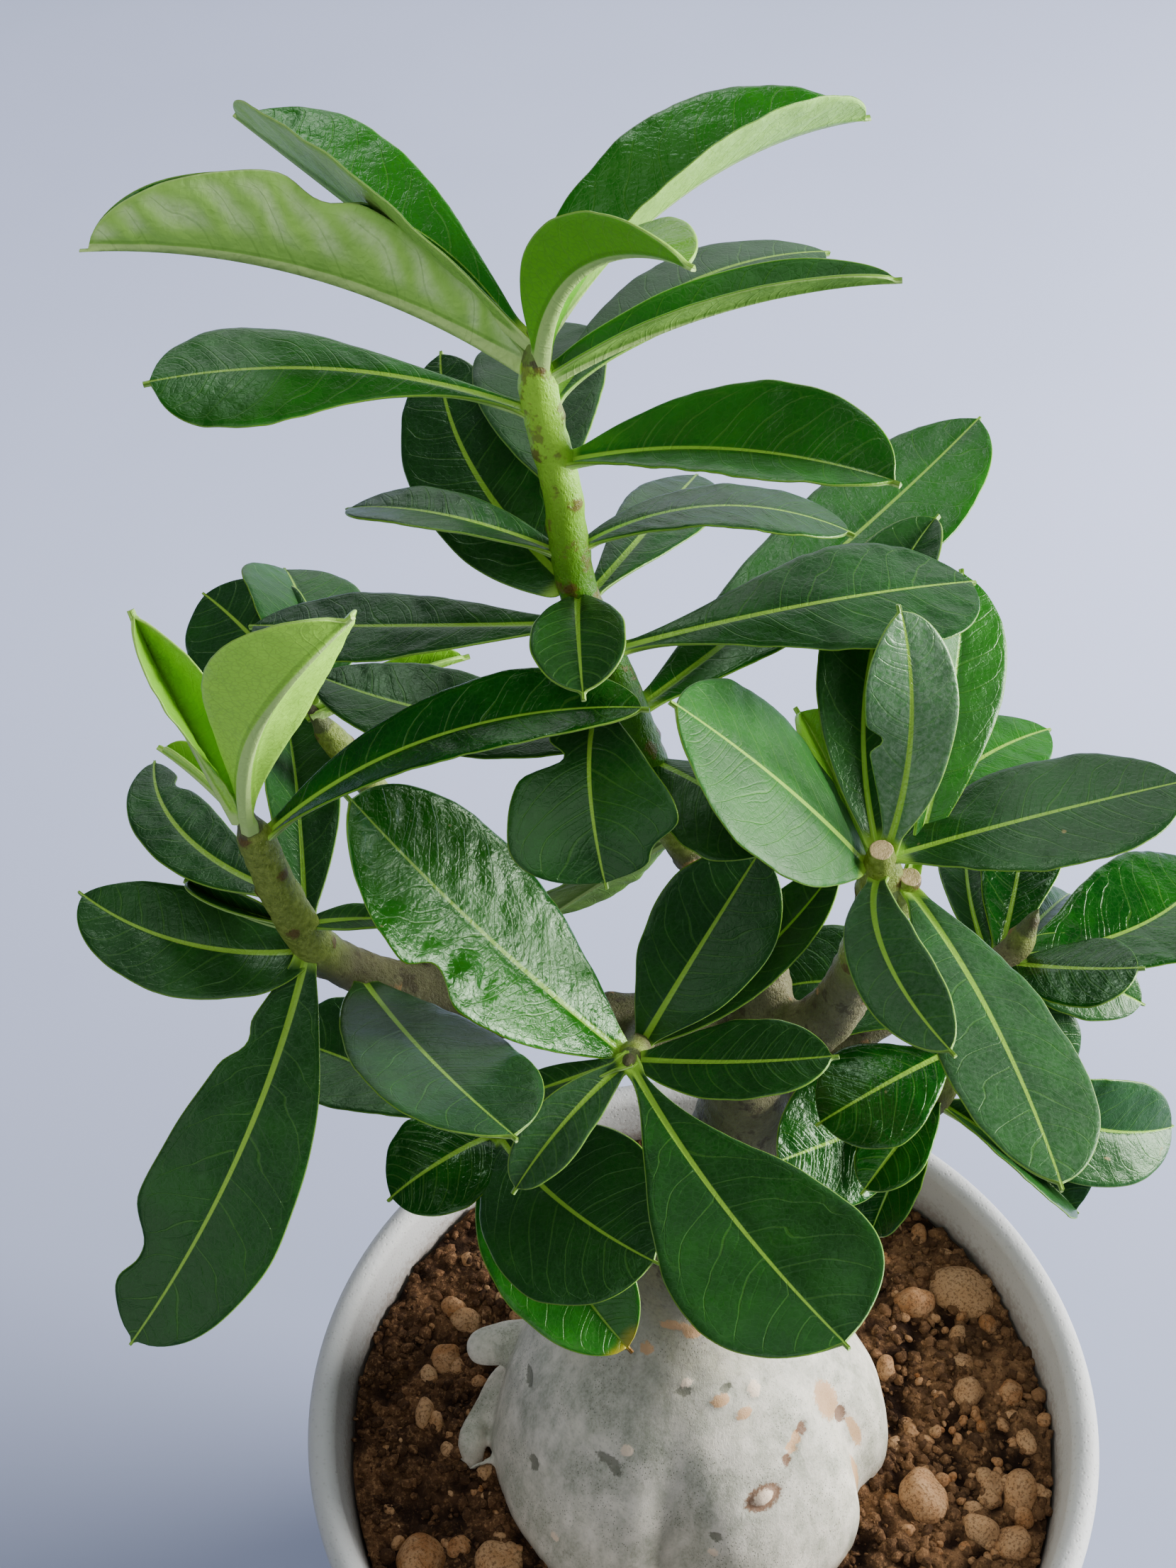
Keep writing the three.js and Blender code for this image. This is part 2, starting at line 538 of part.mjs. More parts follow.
function stemParts({ route, radius: [start, middle, tip], leafy, cut = false, leaves }) {
  const curve = smoothCurve(route);
  const length = curve.getLength();
  const split = clamp(1 - leafy / length, 0, 1);
  const bareRadius = (share) => lerp(start, middle, split > 0 ? clamp(share / split, 0, 1) : 1);
  const leafyRadius = (share) => lerp(middle, tip, (share - split) / (1 - split));
  const bare = split > 0 ? [limb(curve, bareRadius, STEM_SIDES, 0, split - GAP / length)] : [];
  const green = limb(curve, leafyRadius, STEM_SIDES, split, 1, !cut);
  const blades = leaves.map((one) => leaf(curve.getPointAt(1 - one.down / length), tip, one));
  return { bare, leafy: union([green, ...blades]) };
}

function largestPiece(body) {
  return body.decompose().sort((a, b) => b.volume() - a.volume())[0];
}

// Swollen base and its roots. "grow" makes them larger, for the hole that they stand in.
function rootedBase(grow = 0) {
  const roots = ROOTS.map(({ route, radius }) => (
    limb(smoothCurve(route), (share) => lerp(...radius, share) + grow, STEM_SIDES, 0, 1, true)));
  return union([swollenBase(grow), ...roots]);
}

function trunk() {
  return limb(smoothCurve(TRUNK.route), (share) => lerp(...TRUNK.radius, share), TRUNK_SIDES, 0, 1, true);
}

function buildPlant() {
  const shoots = SHOOTS.map((shoot) => ({ ...shoot, parts: shoot.stems.map(stemParts) }));
  const branches = shoots.flatMap((shoot) => shoot.parts.flatMap((part) => part.bare));
  const wood = union([rootedBase(), trunk(), ...branches]);
  const soil = union([soilBody(), ...stones()]).subtract(rootedBase(GAP));
  const group = new THREE.Group();
  group.add(meshOf('pot', pot(), '#b4b6b5', 0.8));
  group.add(meshOf('soil', largestPiece(soil), '#3b281c', 1));
  group.add(meshOf('trunk', wood, '#8d948c', 0.7));
  for (const { name, color, parts } of shoots) {
    group.add(meshOf(name, union(parts.map((part) => part.leafy)), color, 0.4));
  }
  return group;
}

const group = buildPlant();
export default group;
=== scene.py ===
# %% [markdown]
# # A potted desert rose
# The plant has four kinds of surface: a fired or cast grey pot, crumbly soil with pebbles, smooth silvery
# bark on a swollen base, and thick glossy leaves. Each gets its own step below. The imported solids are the
# fixed frame: every piece here is built in their places, in metres, with +Z up.

import math

import bmesh
import bpy
import numpy as np
from mathutils import Matrix, Vector


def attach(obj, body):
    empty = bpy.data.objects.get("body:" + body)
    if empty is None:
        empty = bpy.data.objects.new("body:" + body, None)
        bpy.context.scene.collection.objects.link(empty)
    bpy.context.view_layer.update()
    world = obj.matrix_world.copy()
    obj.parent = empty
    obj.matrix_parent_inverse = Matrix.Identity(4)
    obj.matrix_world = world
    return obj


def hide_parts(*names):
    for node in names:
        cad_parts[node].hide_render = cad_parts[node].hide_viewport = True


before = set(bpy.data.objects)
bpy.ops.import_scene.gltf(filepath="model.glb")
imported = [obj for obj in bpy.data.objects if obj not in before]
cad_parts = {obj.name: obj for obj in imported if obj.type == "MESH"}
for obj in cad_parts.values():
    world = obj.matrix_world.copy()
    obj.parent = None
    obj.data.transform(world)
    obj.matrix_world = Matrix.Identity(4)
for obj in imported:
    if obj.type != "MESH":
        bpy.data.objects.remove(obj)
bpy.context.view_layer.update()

# %% [markdown]
# ## Camera
# The photo looks steeply down on the plant from the front, with a normal lens. The camera's place and tilt
# were worked out from the ellipse of the pot's rim. A camera looks along its own -Z, so its three axes are
# written straight into its matrix: right, up and backwards, with the small roll turning the first two.

# %% Camera
MM = 0.001
CAMERA_PLACE = Vector((-25.3, -289.3, 752.0)) * MM
CAMERA_DOWN = math.radians(46.9)
CAMERA_ROLL = math.radians(2.05)
LENS = 50
SENSOR = 36


def make_camera():
    ahead = Vector((0, math.cos(CAMERA_DOWN), -math.sin(CAMERA_DOWN)))
    level_right = Vector((1, 0, 0))
    level_up = level_right.cross(ahead)
    right = level_right * math.cos(CAMERA_ROLL) - level_up * math.sin(CAMERA_ROLL)
    up = level_right * math.sin(CAMERA_ROLL) + level_up * math.cos(CAMERA_ROLL)
    data = bpy.data.cameras.new("camera")
    data.lens = LENS
    data.sensor_width = SENSOR
    data.clip_start = 0.01
    camera = bpy.data.objects.new("camera", data)
    axes = Matrix((right, up, -ahead)).transposed().to_4x4()
    camera.matrix_world = Matrix.Translation(CAMERA_PLACE) @ axes
    bpy.context.scene.collection.objects.link(camera)
    bpy.context.scene.camera = camera
    return camera


camera = make_camera()
print("camera at", [round(v, 3) for v in camera.location])

# %% [markdown]
# ## A short way to write node trees
# Materials and Geometry Nodes are both trees of nodes. Written out one by one they fill pages, so `Field`
# wraps an output socket and lets it be used in ordinary sums: `height * 2 + noise` adds the Math nodes.
# `Tree` adds a node by its kind and fills its inputs, with fixed numbers or with fields.

# %% Fields and trees
class Field:
    """An output socket that can be used in sums."""

    def __init__(self, tree, socket):
        self.tree = tree
        self.socket = socket

    def vector(self):
        return self.socket.type == "VECTOR"

    def __add__(self, other):
        return self.tree.sum("ADD", self, other)

    def __sub__(self, other):
        return self.tree.sum("SUBTRACT", self, other)

    def __rsub__(self, other):
        return self.tree.sum("SUBTRACT", other, self)

    def __mul__(self, other):
        return self.tree.sum("MULTIPLY", self, other)

    def __truediv__(self, other):
        return self.tree.sum("DIVIDE", self, other)

    def __rtruediv__(self, other):
        return self.tree.sum("DIVIDE", other, self)

    __radd__ = __add__
    __rmul__ = __mul__


class Tree:
    """A node tree with short calls for the nodes that this script uses."""

    def __init__(self, tree):
        self.tree = tree

    def add(self, kind, inputs=None, **settings):
        node = self.tree.nodes.new(kind)
        for name, value in settings.items():
            setattr(node, name, value)
        for key, value in (inputs or {}).items():
            self.feed(node.inputs[key], value)
        return node

    def feed(self, socket, value):
        if isinstance(value, Field):
            self.tree.links.new(value.socket, socket)
        else:
            socket.default_value = value

    def field(self, kind, inputs=None, output=0, **settings):
        return Field(self, self.add(kind, inputs, **settings).outputs[output])

    def sum(self, operation, *terms):
        vectors = [isinstance(term, Field) and term.vector() or isinstance(term, tuple) for term in terms]
        if not any(vectors):
            return self.field("ShaderNodeMath", dict(enumerate(terms)), operation=operation)
        if operation == "MULTIPLY" and not all(vectors):
            vector, scale = terms if vectors[0] else reversed(terms)
            return self.field("ShaderNodeVectorMath", {0: vector, "Scale": scale}, operation="SCALE")
        return self.field("ShaderNodeVectorMath", dict(enumerate(terms)), operation=operation)

    def smooth(self, value, low, high):
        """0 below low, 1 above high, and a soft step between."""
        inputs = {"Value": value, "From Min": low, "From Max": high}
        return self.field("ShaderNodeMapRange", inputs, interpolation_type="SMOOTHSTEP")

    def blend(self, share, first, second):
        """A number between two others."""
        return self.field("ShaderNodeMapRange", {"Value": share, "To Min": first, "To Max": second})

    def colour(self, share, first, second):
        """A colour between two others, each a field or its red, green and blue."""
        first, second = ((*tint, 1) if isinstance(tint, tuple) else tint for tint in (first, second))
        inputs = {0: share, 6: first, 7: second}
        return self.field("ShaderNodeMix", inputs, 2, data_type="RGBA", clamp_factor=True)

    def coats(self, colour, *coats):
        """A colour under coats of others, each with how strongly it covers."""
        for share, tint in coats:
            colour = self.colour(share, colour, tint)
        return colour

    def noise(self, place, scale, detail=2.0, roughness=0.5):
        inputs = {"Vector": place, "Scale": scale, "Detail": detail, "Roughness": roughness}
        return self.field("ShaderNodeTexNoise", inputs)

    def cells(self, place, scale, feature="F1"):
        return self.field("ShaderNodeTexVoronoi", {"Vector": place, "Scale": scale}, feature=feature)

    def parts(self, vector):
        node = self.add("ShaderNodeSeparateXYZ", {0: vector})
        return [Field(self, output) for output in node.outputs]

    def triple(self, x=0.0, y=0.0, z=0.0):
        return self.field("ShaderNodeCombineXYZ", {"X": x, "Y": y, "Z": z})

    def bell(self, value, sharpness=1.0):
        """1 at zero, and falling away softly on both sides."""
        return self.sum("EXPONENT", value * value * -sharpness)

    def random(self, low, high, seed):
        """A random number, or a random vector, between two others."""
        kind = "FLOAT_VECTOR" if isinstance(low, tuple) else "FLOAT"
        inputs = {"Min": low, "Max": high, "Seed": seed}
        return self.field("FunctionNodeRandomValue", inputs, "Value", data_type=kind)

    def named(self, label, kind="FLOAT"):
        """A value that the mesh stores under that name."""
        return self.field("GeometryNodeInputNamedAttribute", {"Name": label}, data_type=kind)

    def named_vector(self, label):
        return self.named(label, "FLOAT_VECTOR")

    def store(self, geometry, label, value, kind="FLOAT"):
        inputs = {"Geometry": geometry, "Name": label, "Value": value}
        return self.field("GeometryNodeStoreNamedAttribute", inputs, data_type=kind)

    def move(self, geometry, **where):
        return self.field("GeometryNodeSetPosition", {"Geometry": geometry, **where})

    def make_real(self, geometry):
        return self.field("GeometryNodeRealizeInstances", {"Geometry": geometry})

    def dress(self, geometry, material, chosen=True):
        inputs = {"Geometry": geometry, "Selection": chosen, "Material": material}
        return self.field("GeometryNodeSetMaterial", inputs)

    def together(self, *parts):
        both = self.add("GeometryNodeJoinGeometry")
        for part in parts:
            self.feed(both.inputs[0], part)
        return Field(self, both.outputs[0])


def group_tree(name, kind, inputs, outputs):
    """A new group. An input is given by its starting number or its kind of socket, an output by its kind."""
    made = bpy.data.node_groups.new(name, kind)
    numbers = {float: "Float", int: "Int"}
    for label, start in inputs.items():
        socket_kind = "NodeSocket" + numbers.get(type(start), str(start))
        socket = made.interface.new_socket(label, in_out="INPUT", socket_type=socket_kind)
        if type(start) in numbers:
            socket.default_value = start
    for label, socket_kind in outputs.items():
        made.interface.new_socket(label, in_out="OUTPUT", socket_type="NodeSocket" + socket_kind)
    tree = Tree(made)
    enter, leave = made.nodes.new("NodeGroupInput"), made.nodes.new("NodeGroupOutput")
    entry = {output.name: Field(tree, output) for output in enter.outputs if output.name}
    return tree, entry, leave


def geometry_tree(name, inputs):
    """A Geometry Nodes group from one geometry to another."""
    ends = {"Geometry": "Geometry"}
    return group_tree(name, "GeometryNodeTree", ends | inputs, ends)


print("node helpers ready")

# %% [markdown]
# ## Shared surface effects
# Clay, bark, stone and soil are all mottled: broad soft patches, a finer grain and small dark or pale
# specks. One shader group makes the three masks from a place on the surface, and each material mixes its
# own colours with them. The place is in millimetres, so every size in it can be checked on the real thing.

# %% Mottle group
def mottle_group():
    tree, entry, leave = group_tree(
        "mottle", "ShaderNodeTree", {"Place": "Vector", "Patch size": 20.0, "Grain size": 2.0},
        {"Patches": "Float", "Grain": "Float", "Specks": "Float"})
    place = entry["Place"]
    patch_scale = 1.0 / entry["Patch size"]
    grain_scale = 1.0 / entry["Grain size"]
    tree.feed(leave.inputs["Patches"], tree.smooth(tree.noise(place, patch_scale, 3.0, 0.55), 0.32, 0.68))
    tree.feed(leave.inputs["Grain"], tree.smooth(tree.noise(place, grain_scale, 4.0, 0.65), 0.25, 0.75))
    tree.feed(leave.inputs["Specks"], 1.0 - tree.smooth(tree.cells(place, grain_scale), 0.12, 0.3))
    return tree.tree


MOTTLE = mottle_group()


def object_place(tree):
    """The place on the piece, in millimetres."""
    return tree.field("ShaderNodeTexCoord", output="Object") * (1 / MM)


def mottle(tree, place, patch, grain):
    node = tree.add("ShaderNodeGroup", node_tree=MOTTLE)
    for key, value in {"Place": place, "Patch size": patch, "Grain size": grain}.items():
        tree.feed(node.inputs[key], value)
    return [Field(tree, output) for output in node.outputs]


def mark(tree, label):
    """A value that the mesh stores under that name, for a material."""
    return tree.field("ShaderNodeAttribute", output="Fac", attribute_name=label)


def vector_mark(tree, label):
    return tree.parts(tree.field("ShaderNodeAttribute", output="Vector", attribute_name=label))


def new_material(name, fixed):
    """A material whose shader has the sockets named in fixed set to constant values."""
    made = bpy.data.materials.new(name)
    made.use_nodes = True
    shader = made.node_tree.nodes["Principled BSDF"]
    for socket, value in fixed.items():
        shader.inputs[socket].default_value = value
    return made, Tree(made.node_tree), shader


def bump(tree, shader, height, depth):
    """Relief on the shader, with the height in units of depth, in millimetres."""
    inputs = {"Height": height, "Distance": depth * MM, "Strength": 1.0}
    tree.feed(shader.inputs["Normal"], tree.field("ShaderNodeBump", inputs))


print("mottle group with", len(MOTTLE.nodes), "nodes")

# %% [markdown]
# ## Finishing a piece
# Every piece ends the same way: it is a plain mesh at the origin, it rides on the one body of this part, and
# it replaces its imported solid.

# %% Piece helpers
def mesh_object(name, vertices, faces=(), edges=()):
    data = bpy.data.meshes.new(name)
    data.from_pydata([tuple(v) for v in vertices], edges, faces)
    data.update()
    made = bpy.data.objects.new(name, data)
    bpy.context.scene.collection.objects.link(made)
    return made


def closed_loft(rings, ends=None):
    """Vertices and outward faces of a closed body through rings that have the same number of points."""
    rings = np.asarray(rings, float)
    number, sides, _ = rings.shape
    vertices = np.vstack([rings.reshape(-1, 3), ends or (rings[0].mean(0), rings[-1].mean(0))])
    at = lambda ring, side: ring * sides + side % sides
    faces = [(at(i, j), at(i, j + 1), at(i + 1, j + 1), at(i + 1, j))
             for i in range(number - 1) for j in range(sides)]
    faces += [(number * sides, at(0, j + 1), at(0, j)) for j in range(sides)]
    faces += [(number * sides + 1, at(number - 1, j), at(number - 1, j + 1)) for j in range(sides)]
    return vertices, faces


def round_turns(sides):
    return np.radians(np.arange(sides) * 360 / sides)


def settle(piece):
    """Turns the piece's modifiers into a plain mesh."""
    bpy.context.view_layer.update()
    depsgraph = bpy.context.evaluated_depsgraph_get()
    plain = bpy.data.meshes.new_from_object(
        piece.evaluated_get(depsgraph), preserve_all_data_layers=True, depsgraph=depsgraph)
    piece.modifiers.clear()
    piece.data = plain


def grow_nodes(piece, tree, **inputs):
    """Runs a Geometry Nodes tree on the piece, with its named inputs set, and keeps the result."""
    modifier = piece.modifiers.new("grow", "NODES")
    modifier.node_group = tree
    for item in tree.interface.items_tree:
        label = item.name.lower().replace(" ", "_")
        if item.in_out == "INPUT" and label in inputs:
            modifier[item.identifier] = inputs[label]
    settle(piece)


def count(piece):
    return sum(len(polygon.vertices) - 2 for polygon in piece.data.polygons)


def finished(piece, slot, *nodes, material=None):
    """Shades the piece smooth and ties it to the frame."""
    piece.data.polygons.foreach_set("use_smooth", [True] * len(piece.data.polygons))
    if material:
        piece.data.materials.clear()
        piece.data.materials.append(material)
    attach(piece, "root")
    if nodes:
        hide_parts(*nodes)
    print(piece.name, count(piece), "triangles")


def set_values(piece, label, values, kind="FLOAT"):
    """Stores one value a vertex under a name that materials and trees can read."""
    layer = piece.data.attributes.new(label, kind, "POINT")
    key = "vector" if kind == "FLOAT_VECTOR" else "value"
    layer.data.foreach_set(key, np.asarray(values, float).ravel())


print("piece helpers ready")

# %% [markdown]
# ## Floor and light
# The photo was taken indoors by soft daylight. The right side of the base is bright and the left one in soft
# shade, and the leaves that lean to the left have a white sheen, so a broad window stands low on the right.
# Leaves that lean back mirror a pale wall behind the plant, which is a broad weak lamp here. A lamp above
# lights the tops of the leaves, another the side turned to the room, and a small high one behind gives flat
# leaves their gloss. A dim sky stands in for the rest.

# %% Floor and light
FLOOR_HALF = 4.0
# Each lamp has its place, what it faces, its two sizes, its power and its tint
LAMPS = {
    "window": ((1.6, 0.12, 0.66), (0, 0, 0.3), (1.0, 1.0), 108, (1.0, 0.98, 0.95)),
    "wall": ((0.4, 2.7, 0.9), (0, 0.4, 0.2), (3.6, 1.6), 20, (0.93, 0.96, 1.0)),
    "overhead": ((0.1, -0.5, 2.0), (0, 0, 0.25), (1.7, 1.7), 14, (1, 1, 1)),
    "skylight": ((-0.1, 1.25, 1.75), (0, 0, 0.4), (0.5, 0.5), 7.5, (0.95, 0.98, 1.0)),
    "room": ((-1.3, -1.7, 1.1), (0, 0, 0.3), (2.0, 1.6), 12.5, (0.97, 0.98, 1.0)),
}
SKY_TINT = (0.72, 0.79, 1.0)
SKY_STRENGTH = 0.1


def floor_material():
    made, tree, shader = new_material("floor", {"Roughness": 0.75})
    place = object_place(tree)
    patches, _, _ = mottle(tree, place, 300.0, 3.0)
    tint = tree.colour(patches, (0.60, 0.67, 0.96), (0.63, 0.70, 1.0))
    # Painted shade: the floor is painted darker towards the front
    _, deep, _ = tree.parts(place)
    tint = tree.colour(tree.smooth(deep, -200.0, 600.0), (0.235, 0.268, 0.385), tint)
    tree.feed(shader.inputs["Base Color"], tint)
    return made


def make_floor(half):
    corners = [(-half, -half, 0), (half, -half, 0), (half, half, 0), (-half, half, 0)]
    floor = mesh_object("floor", corners, [(0, 1, 2, 3)])
    floor.data.materials.append(floor_material())


def area_lamp(name, place, target, size, power, tint):
    data = bpy.data.lights.new(name, "AREA")
    data.shape = "ELLIPSE"
    data.size, data.size_y = size
    data.energy = power
    data.color = tint
    lamp = bpy.data.objects.new(name, data)
    lamp.location = place
    lamp.rotation_euler = (Vector(target) - Vector(place)).to_track_quat("-Z", "Y").to_euler()
    bpy.context.scene.collection.objects.link(lamp)


def set_sky(tint, strength):
    world = bpy.data.worlds.new("room")
    bpy.context.scene.world = world
    world.use_nodes = True
    sky = world.node_tree.nodes["Background"]
    sky.inputs["Color"].default_value = (*tint, 1)
    sky.inputs["Strength"].default_value = strength


make_floor(FLOOR_HALF)
for name, lamp in LAMPS.items():
    area_lamp(name, *lamp)
set_sky(SKY_TINT, SKY_STRENGTH)
print("floor and", len(bpy.data.lights), "lamps")

# %% [markdown]
# ## Pot
# A plain round pot, turned on a wheel or cast: the same outline all the way round. A half outline swept
# round the axis gives it in one go. Its rim is a soft half round, and the foot has a small rounding where
# the pot meets the table. The drain holes are cut by a Boolean, because they don't follow the turning.

# %% Pot mesh
POT_HEIGHT = 190
POT_RIM_RADIUS = 110
POT_FOOT_RADIUS = 82
POT_WALL = 7.8
POT_FLOOR = 10
FOOT_ROUNDING = 3
FOOT_FLAT = 60
INSIDE_ROUNDING = 4
WALL_BELLY = [(91.3, 65), (100.7, 127)]
POT_SIDES = 192
DRAIN_HOLES = 5
DRILL_SIDES = 32
DRAIN_RADIUS = 6
DRAIN_RING_RADIUS = 42


def arc(centre, radius, start, stop, steps):
    turns = np.radians(np.linspace(start, stop, steps))
    return [(centre[0] + radius * math.cos(t), centre[1] + radius * math.sin(t)) for t in turns]


def pot_inside(height):
    return POT_FOOT_RADIUS + (POT_RIM_RADIUS - POT_FOOT_RADIUS) * height / POT_HEIGHT - POT_WALL


def pot_outline():
    half = POT_WALL / 2
    foot = arc((POT_FOOT_RADIUS - FOOT_ROUNDING, FOOT_ROUNDING), FOOT_ROUNDING, -90, 0, 6)
    rim = arc((POT_RIM_RADIUS - half, POT_HEIGHT - half), half, 0, 180, 15)
    corner = (pot_inside(POT_FLOOR) - INSIDE_ROUNDING, POT_FLOOR + INSIDE_ROUNDING)
    inside = arc(corner, INSIDE_ROUNDING, 0, -90, 5)
    return [(0, 0), (FOOT_FLAT, 0), *foot, *WALL_BELLY, *rim, *inside, (0, POT_FLOOR)]


def turned(name, outline, sides):
    """A closed body made by sweeping a half outline round the axis, which its two ends lie on."""
    turns = round_turns(sides)
    rings = [[(r * math.cos(t), r * math.sin(t), z) for t in turns] for r, z in outline[1:-1]]
    vertices, faces = closed_loft(rings, [(0, 0, outline[0][1]), (0, 0, outline[-1][1])])
    return mesh_object(name, vertices * MM, faces)


def drill(piece, places, radius, length):
    """Cuts upright round holes through the piece."""
    drills = bmesh.new()
    for x, y in places:
        move = Matrix.Translation((x * MM, y * MM, 0))
        bmesh.ops.create_cone(drills, cap_ends=True, segments=DRILL_SIDES, radius1=radius * MM,
                              radius2=radius * MM, depth=length * MM, matrix=move)
    cutter = mesh_object("cutter", [])
    drills.to_mesh(cutter.data)
    drills.free()
    modifier = piece.modifiers.new("holes", "BOOLEAN")
    modifier.object = cutter
    modifier.solver = "EXACT"
    settle(piece)
    bpy.data.objects.remove(cutter)


pot = turned("grey_pot", pot_outline(), POT_SIDES)
hole_turns = round_turns(DRAIN_HOLES)
holes = [(DRAIN_RING_RADIUS * math.cos(t), DRAIN_RING_RADIUS * math.sin(t)) for t in hole_turns]
drill(pot, holes, DRAIN_RADIUS, POT_FLOOR * 3)
print("pot", count(pot), "triangles")

# %% [markdown]
# ## Pot finish
# The real pot is matt and pale grey, with faint clouds and pin specks as cast clay or cement has. Inside, it
# is tinted a little darker and browner all over, and darker still just over the soil.

# %% Pot material
SOIL_TOP = 172
WALL_SLOPE = 0.147


def pot_material():
    made, tree, shader = new_material("matt_grey_pot", {"Specular IOR Level": 0.35})
    place = object_place(tree)
    patches, grain, specks = mottle(tree, place, 45.0, 1.6)
    x, y, z = tree.parts(place)
    reach = tree.sum("POWER", x * x + y * y, 0.5)
    inner = 1.0 - tree.smooth(reach - z * WALL_SLOPE, 75.0, 77.5)
    low = 1.0 - tree.smooth(z + grain * 6.0, SOIL_TOP + 2.0, SOIL_TOP + 12.0)
    body = tree.coats(
        tree.colour(patches, (0.455, 0.465, 0.465), (0.53, 0.54, 0.54)),
        (specks * 0.25, (0.30, 0.29, 0.27)),
        # Darker and browner inside the wall, most of all just over the soil
        (inner * (low * 0.55 + 0.12), (0.16, 0.11, 0.075)),
    )
    tree.feed(shader.inputs["Base Color"], body)
    tree.feed(shader.inputs["Roughness"], tree.blend(grain, 0.5, 0.68))
    bump(tree, shader, grain + specks * -1.0, 0.08)
    return made


finished(pot, "pot", "pot", material=pot_material())

# %% [markdown]
# ## Soil
# Potting mix is a crumbly heap: a gently uneven surface, clods a few millimetres across, and loose crumbs on
# top. The heap is a closed drum that fills the pot, with a fine polar grid on top, and a Geometry Nodes tree
# raises the clods and strews the crumbs, so that how rough and how dense they are stays in named inputs.

# %% Soil heap
SOIL_SIDES = 380
SOIL_GAP = 0.7
SOIL_FOOT = POT_FLOOR + 0.3
SOIL_SHOULDER = SOIL_TOP - 4
SOIL_BELLY = (6, 60)
OPEN_RINGS = 62
HIDDEN_RADIUS = 48
HIDDEN_RINGS = (30, 12)


def soil_height(x, y):
    """A gently waved surface, a little over a millimetre up and down."""
    wave = math.sin(x / 13 + 0.8) * math.cos(y / 11) + 0.7 * math.sin(y / 17 - x / 23 + 2)
    return SOIL_TOP + 1.3 * wave


def soil_heap():
    """A drum of soil with a grid of rings on top, finest where the pot leaves it open."""
    foot, shoulder = (pot_inside(height) - SOIL_GAP for height in (SOIL_FOOT, SOIL_SHOULDER))
    wider, middle = SOIL_BELLY
    wall = [(foot, SOIL_FOOT), (foot + SOIL_GAP + wider, middle), (shoulder, SOIL_SHOULDER)]
    edge = pot_inside(SOIL_TOP) - SOIL_GAP
    top = [*np.linspace(edge, HIDDEN_RADIUS, OPEN_RINGS), *HIDDEN_RINGS]
    turns = round_turns(SOIL_SIDES)
    rings = [[(r * math.cos(t), r * math.sin(t), z) for t in turns] for r, z in wall]
    for r in top:
        places = [(r * math.cos(t), r * math.sin(t)) for t in turns]
        rings.append([(x, y, soil_height(x, y)) for x, y in places])
    vertices, faces = closed_loft(rings, [(0, 0, SOIL_FOOT), (0, 0, soil_height(0, 0))])
    return mesh_object("soil_with_crumbs", vertices * MM, faces)


soil = soil_heap()
print("soil heap", count(soil), "triangles")

# %% Soil tree
def soil_tree():
    """Raises clods on the top of the heap and strews crumbs over it."""
    tree, entry, leave = geometry_tree("crumbly soil", {
        "Clod height": 2.6, "Clod size": 5.0, "Crumbs per square cm": 22.0, "Crumb size": 1.3,
        "Bare radius": 47.0, "Seed": 7, "Material": "Material"})
    seed = entry["Seed"]
    place = tree.field("GeometryNodeInputPosition") * (1 / MM)
    x, y, z = tree.parts(place)
    reach = tree.sum("POWER", x * x + y * y, 0.5)
    upper = tree.smooth(z, 160.0, 166.0)
    clods = tree.noise(place, 1.0 / entry["Clod size"], 4.0, 0.6) - 0.5
    pits = tree.smooth(tree.noise(place, 0.45 / entry["Clod size"], 1.0), 0.35, 0.65) - 0.5
    # How high each spot stands, which the finish paints lighter, partly as painted shade in the hollows
    heap = tree.store(entry["Geometry"], "raised", tree.smooth(clods + pits * 0.3, -0.22, 0.3))
    lift = (clods * 2.0 + pits * 0.6) * entry["Clod height"] * upper * MM
    heap = tree.move(heap, Offset=tree.triple(z=lift))
    _, _, up = tree.parts(tree.field("GeometryNodeInputNormal"))
    open_top = tree.sum("GREATER_THAN", reach, entry["Bare radius"]) * tree.sum("GREATER_THAN", up, 0.3)
    points = tree.field("GeometryNodeDistributePointsOnFaces", {
        "Mesh": heap, "Selection": open_top * upper, "Density": entry["Crumbs per square cm"] * 10000.0,
        "Seed": seed}, distribute_method="RANDOM")
    points = tree.store(points, "raised", tree.random(0.2, 1.0, seed + 1))
    draw = tree.random(0.0, 1.0, seed)
    size = tree.blend(draw * draw * draw, 0.5, 3.0) * entry["Crumb size"] * MM
    crumb = tree.field("GeometryNodeMeshIcoSphere", {"Radius": 0.6, "Subdivisions": 1})
    crumbs = tree.field("GeometryNodeInstanceOnPoints", {
        "Points": points, "Instance": crumb, "Rotation": tree.random((0, 0, 0), (6.3, 6.3, 6.3), seed),
        "Scale": tree.random((0.5, 0.5, 0.5), (1.4, 1.4, 1.4), seed + 2) * size})
    rough = tree.field("ShaderNodeTexNoise", {"Vector": place, "Scale": 0.9, "Detail": 1.0}, 1)
    shove = tree.field("ShaderNodeVectorMath", {0: rough, 1: (0.5, 0.5, 0.5)}, operation="SUBTRACT")
    crumbs = tree.move(tree.make_real(crumbs), Offset=shove * (2.2 * MM))
    tree.feed(leave.inputs["Geometry"], tree.dress(tree.together(crumbs, heap), entry["Material"]))
    return tree.tree


SOIL_TREE = soil_tree()
print("soil tree with", len(SOIL_TREE.nodes), "nodes")
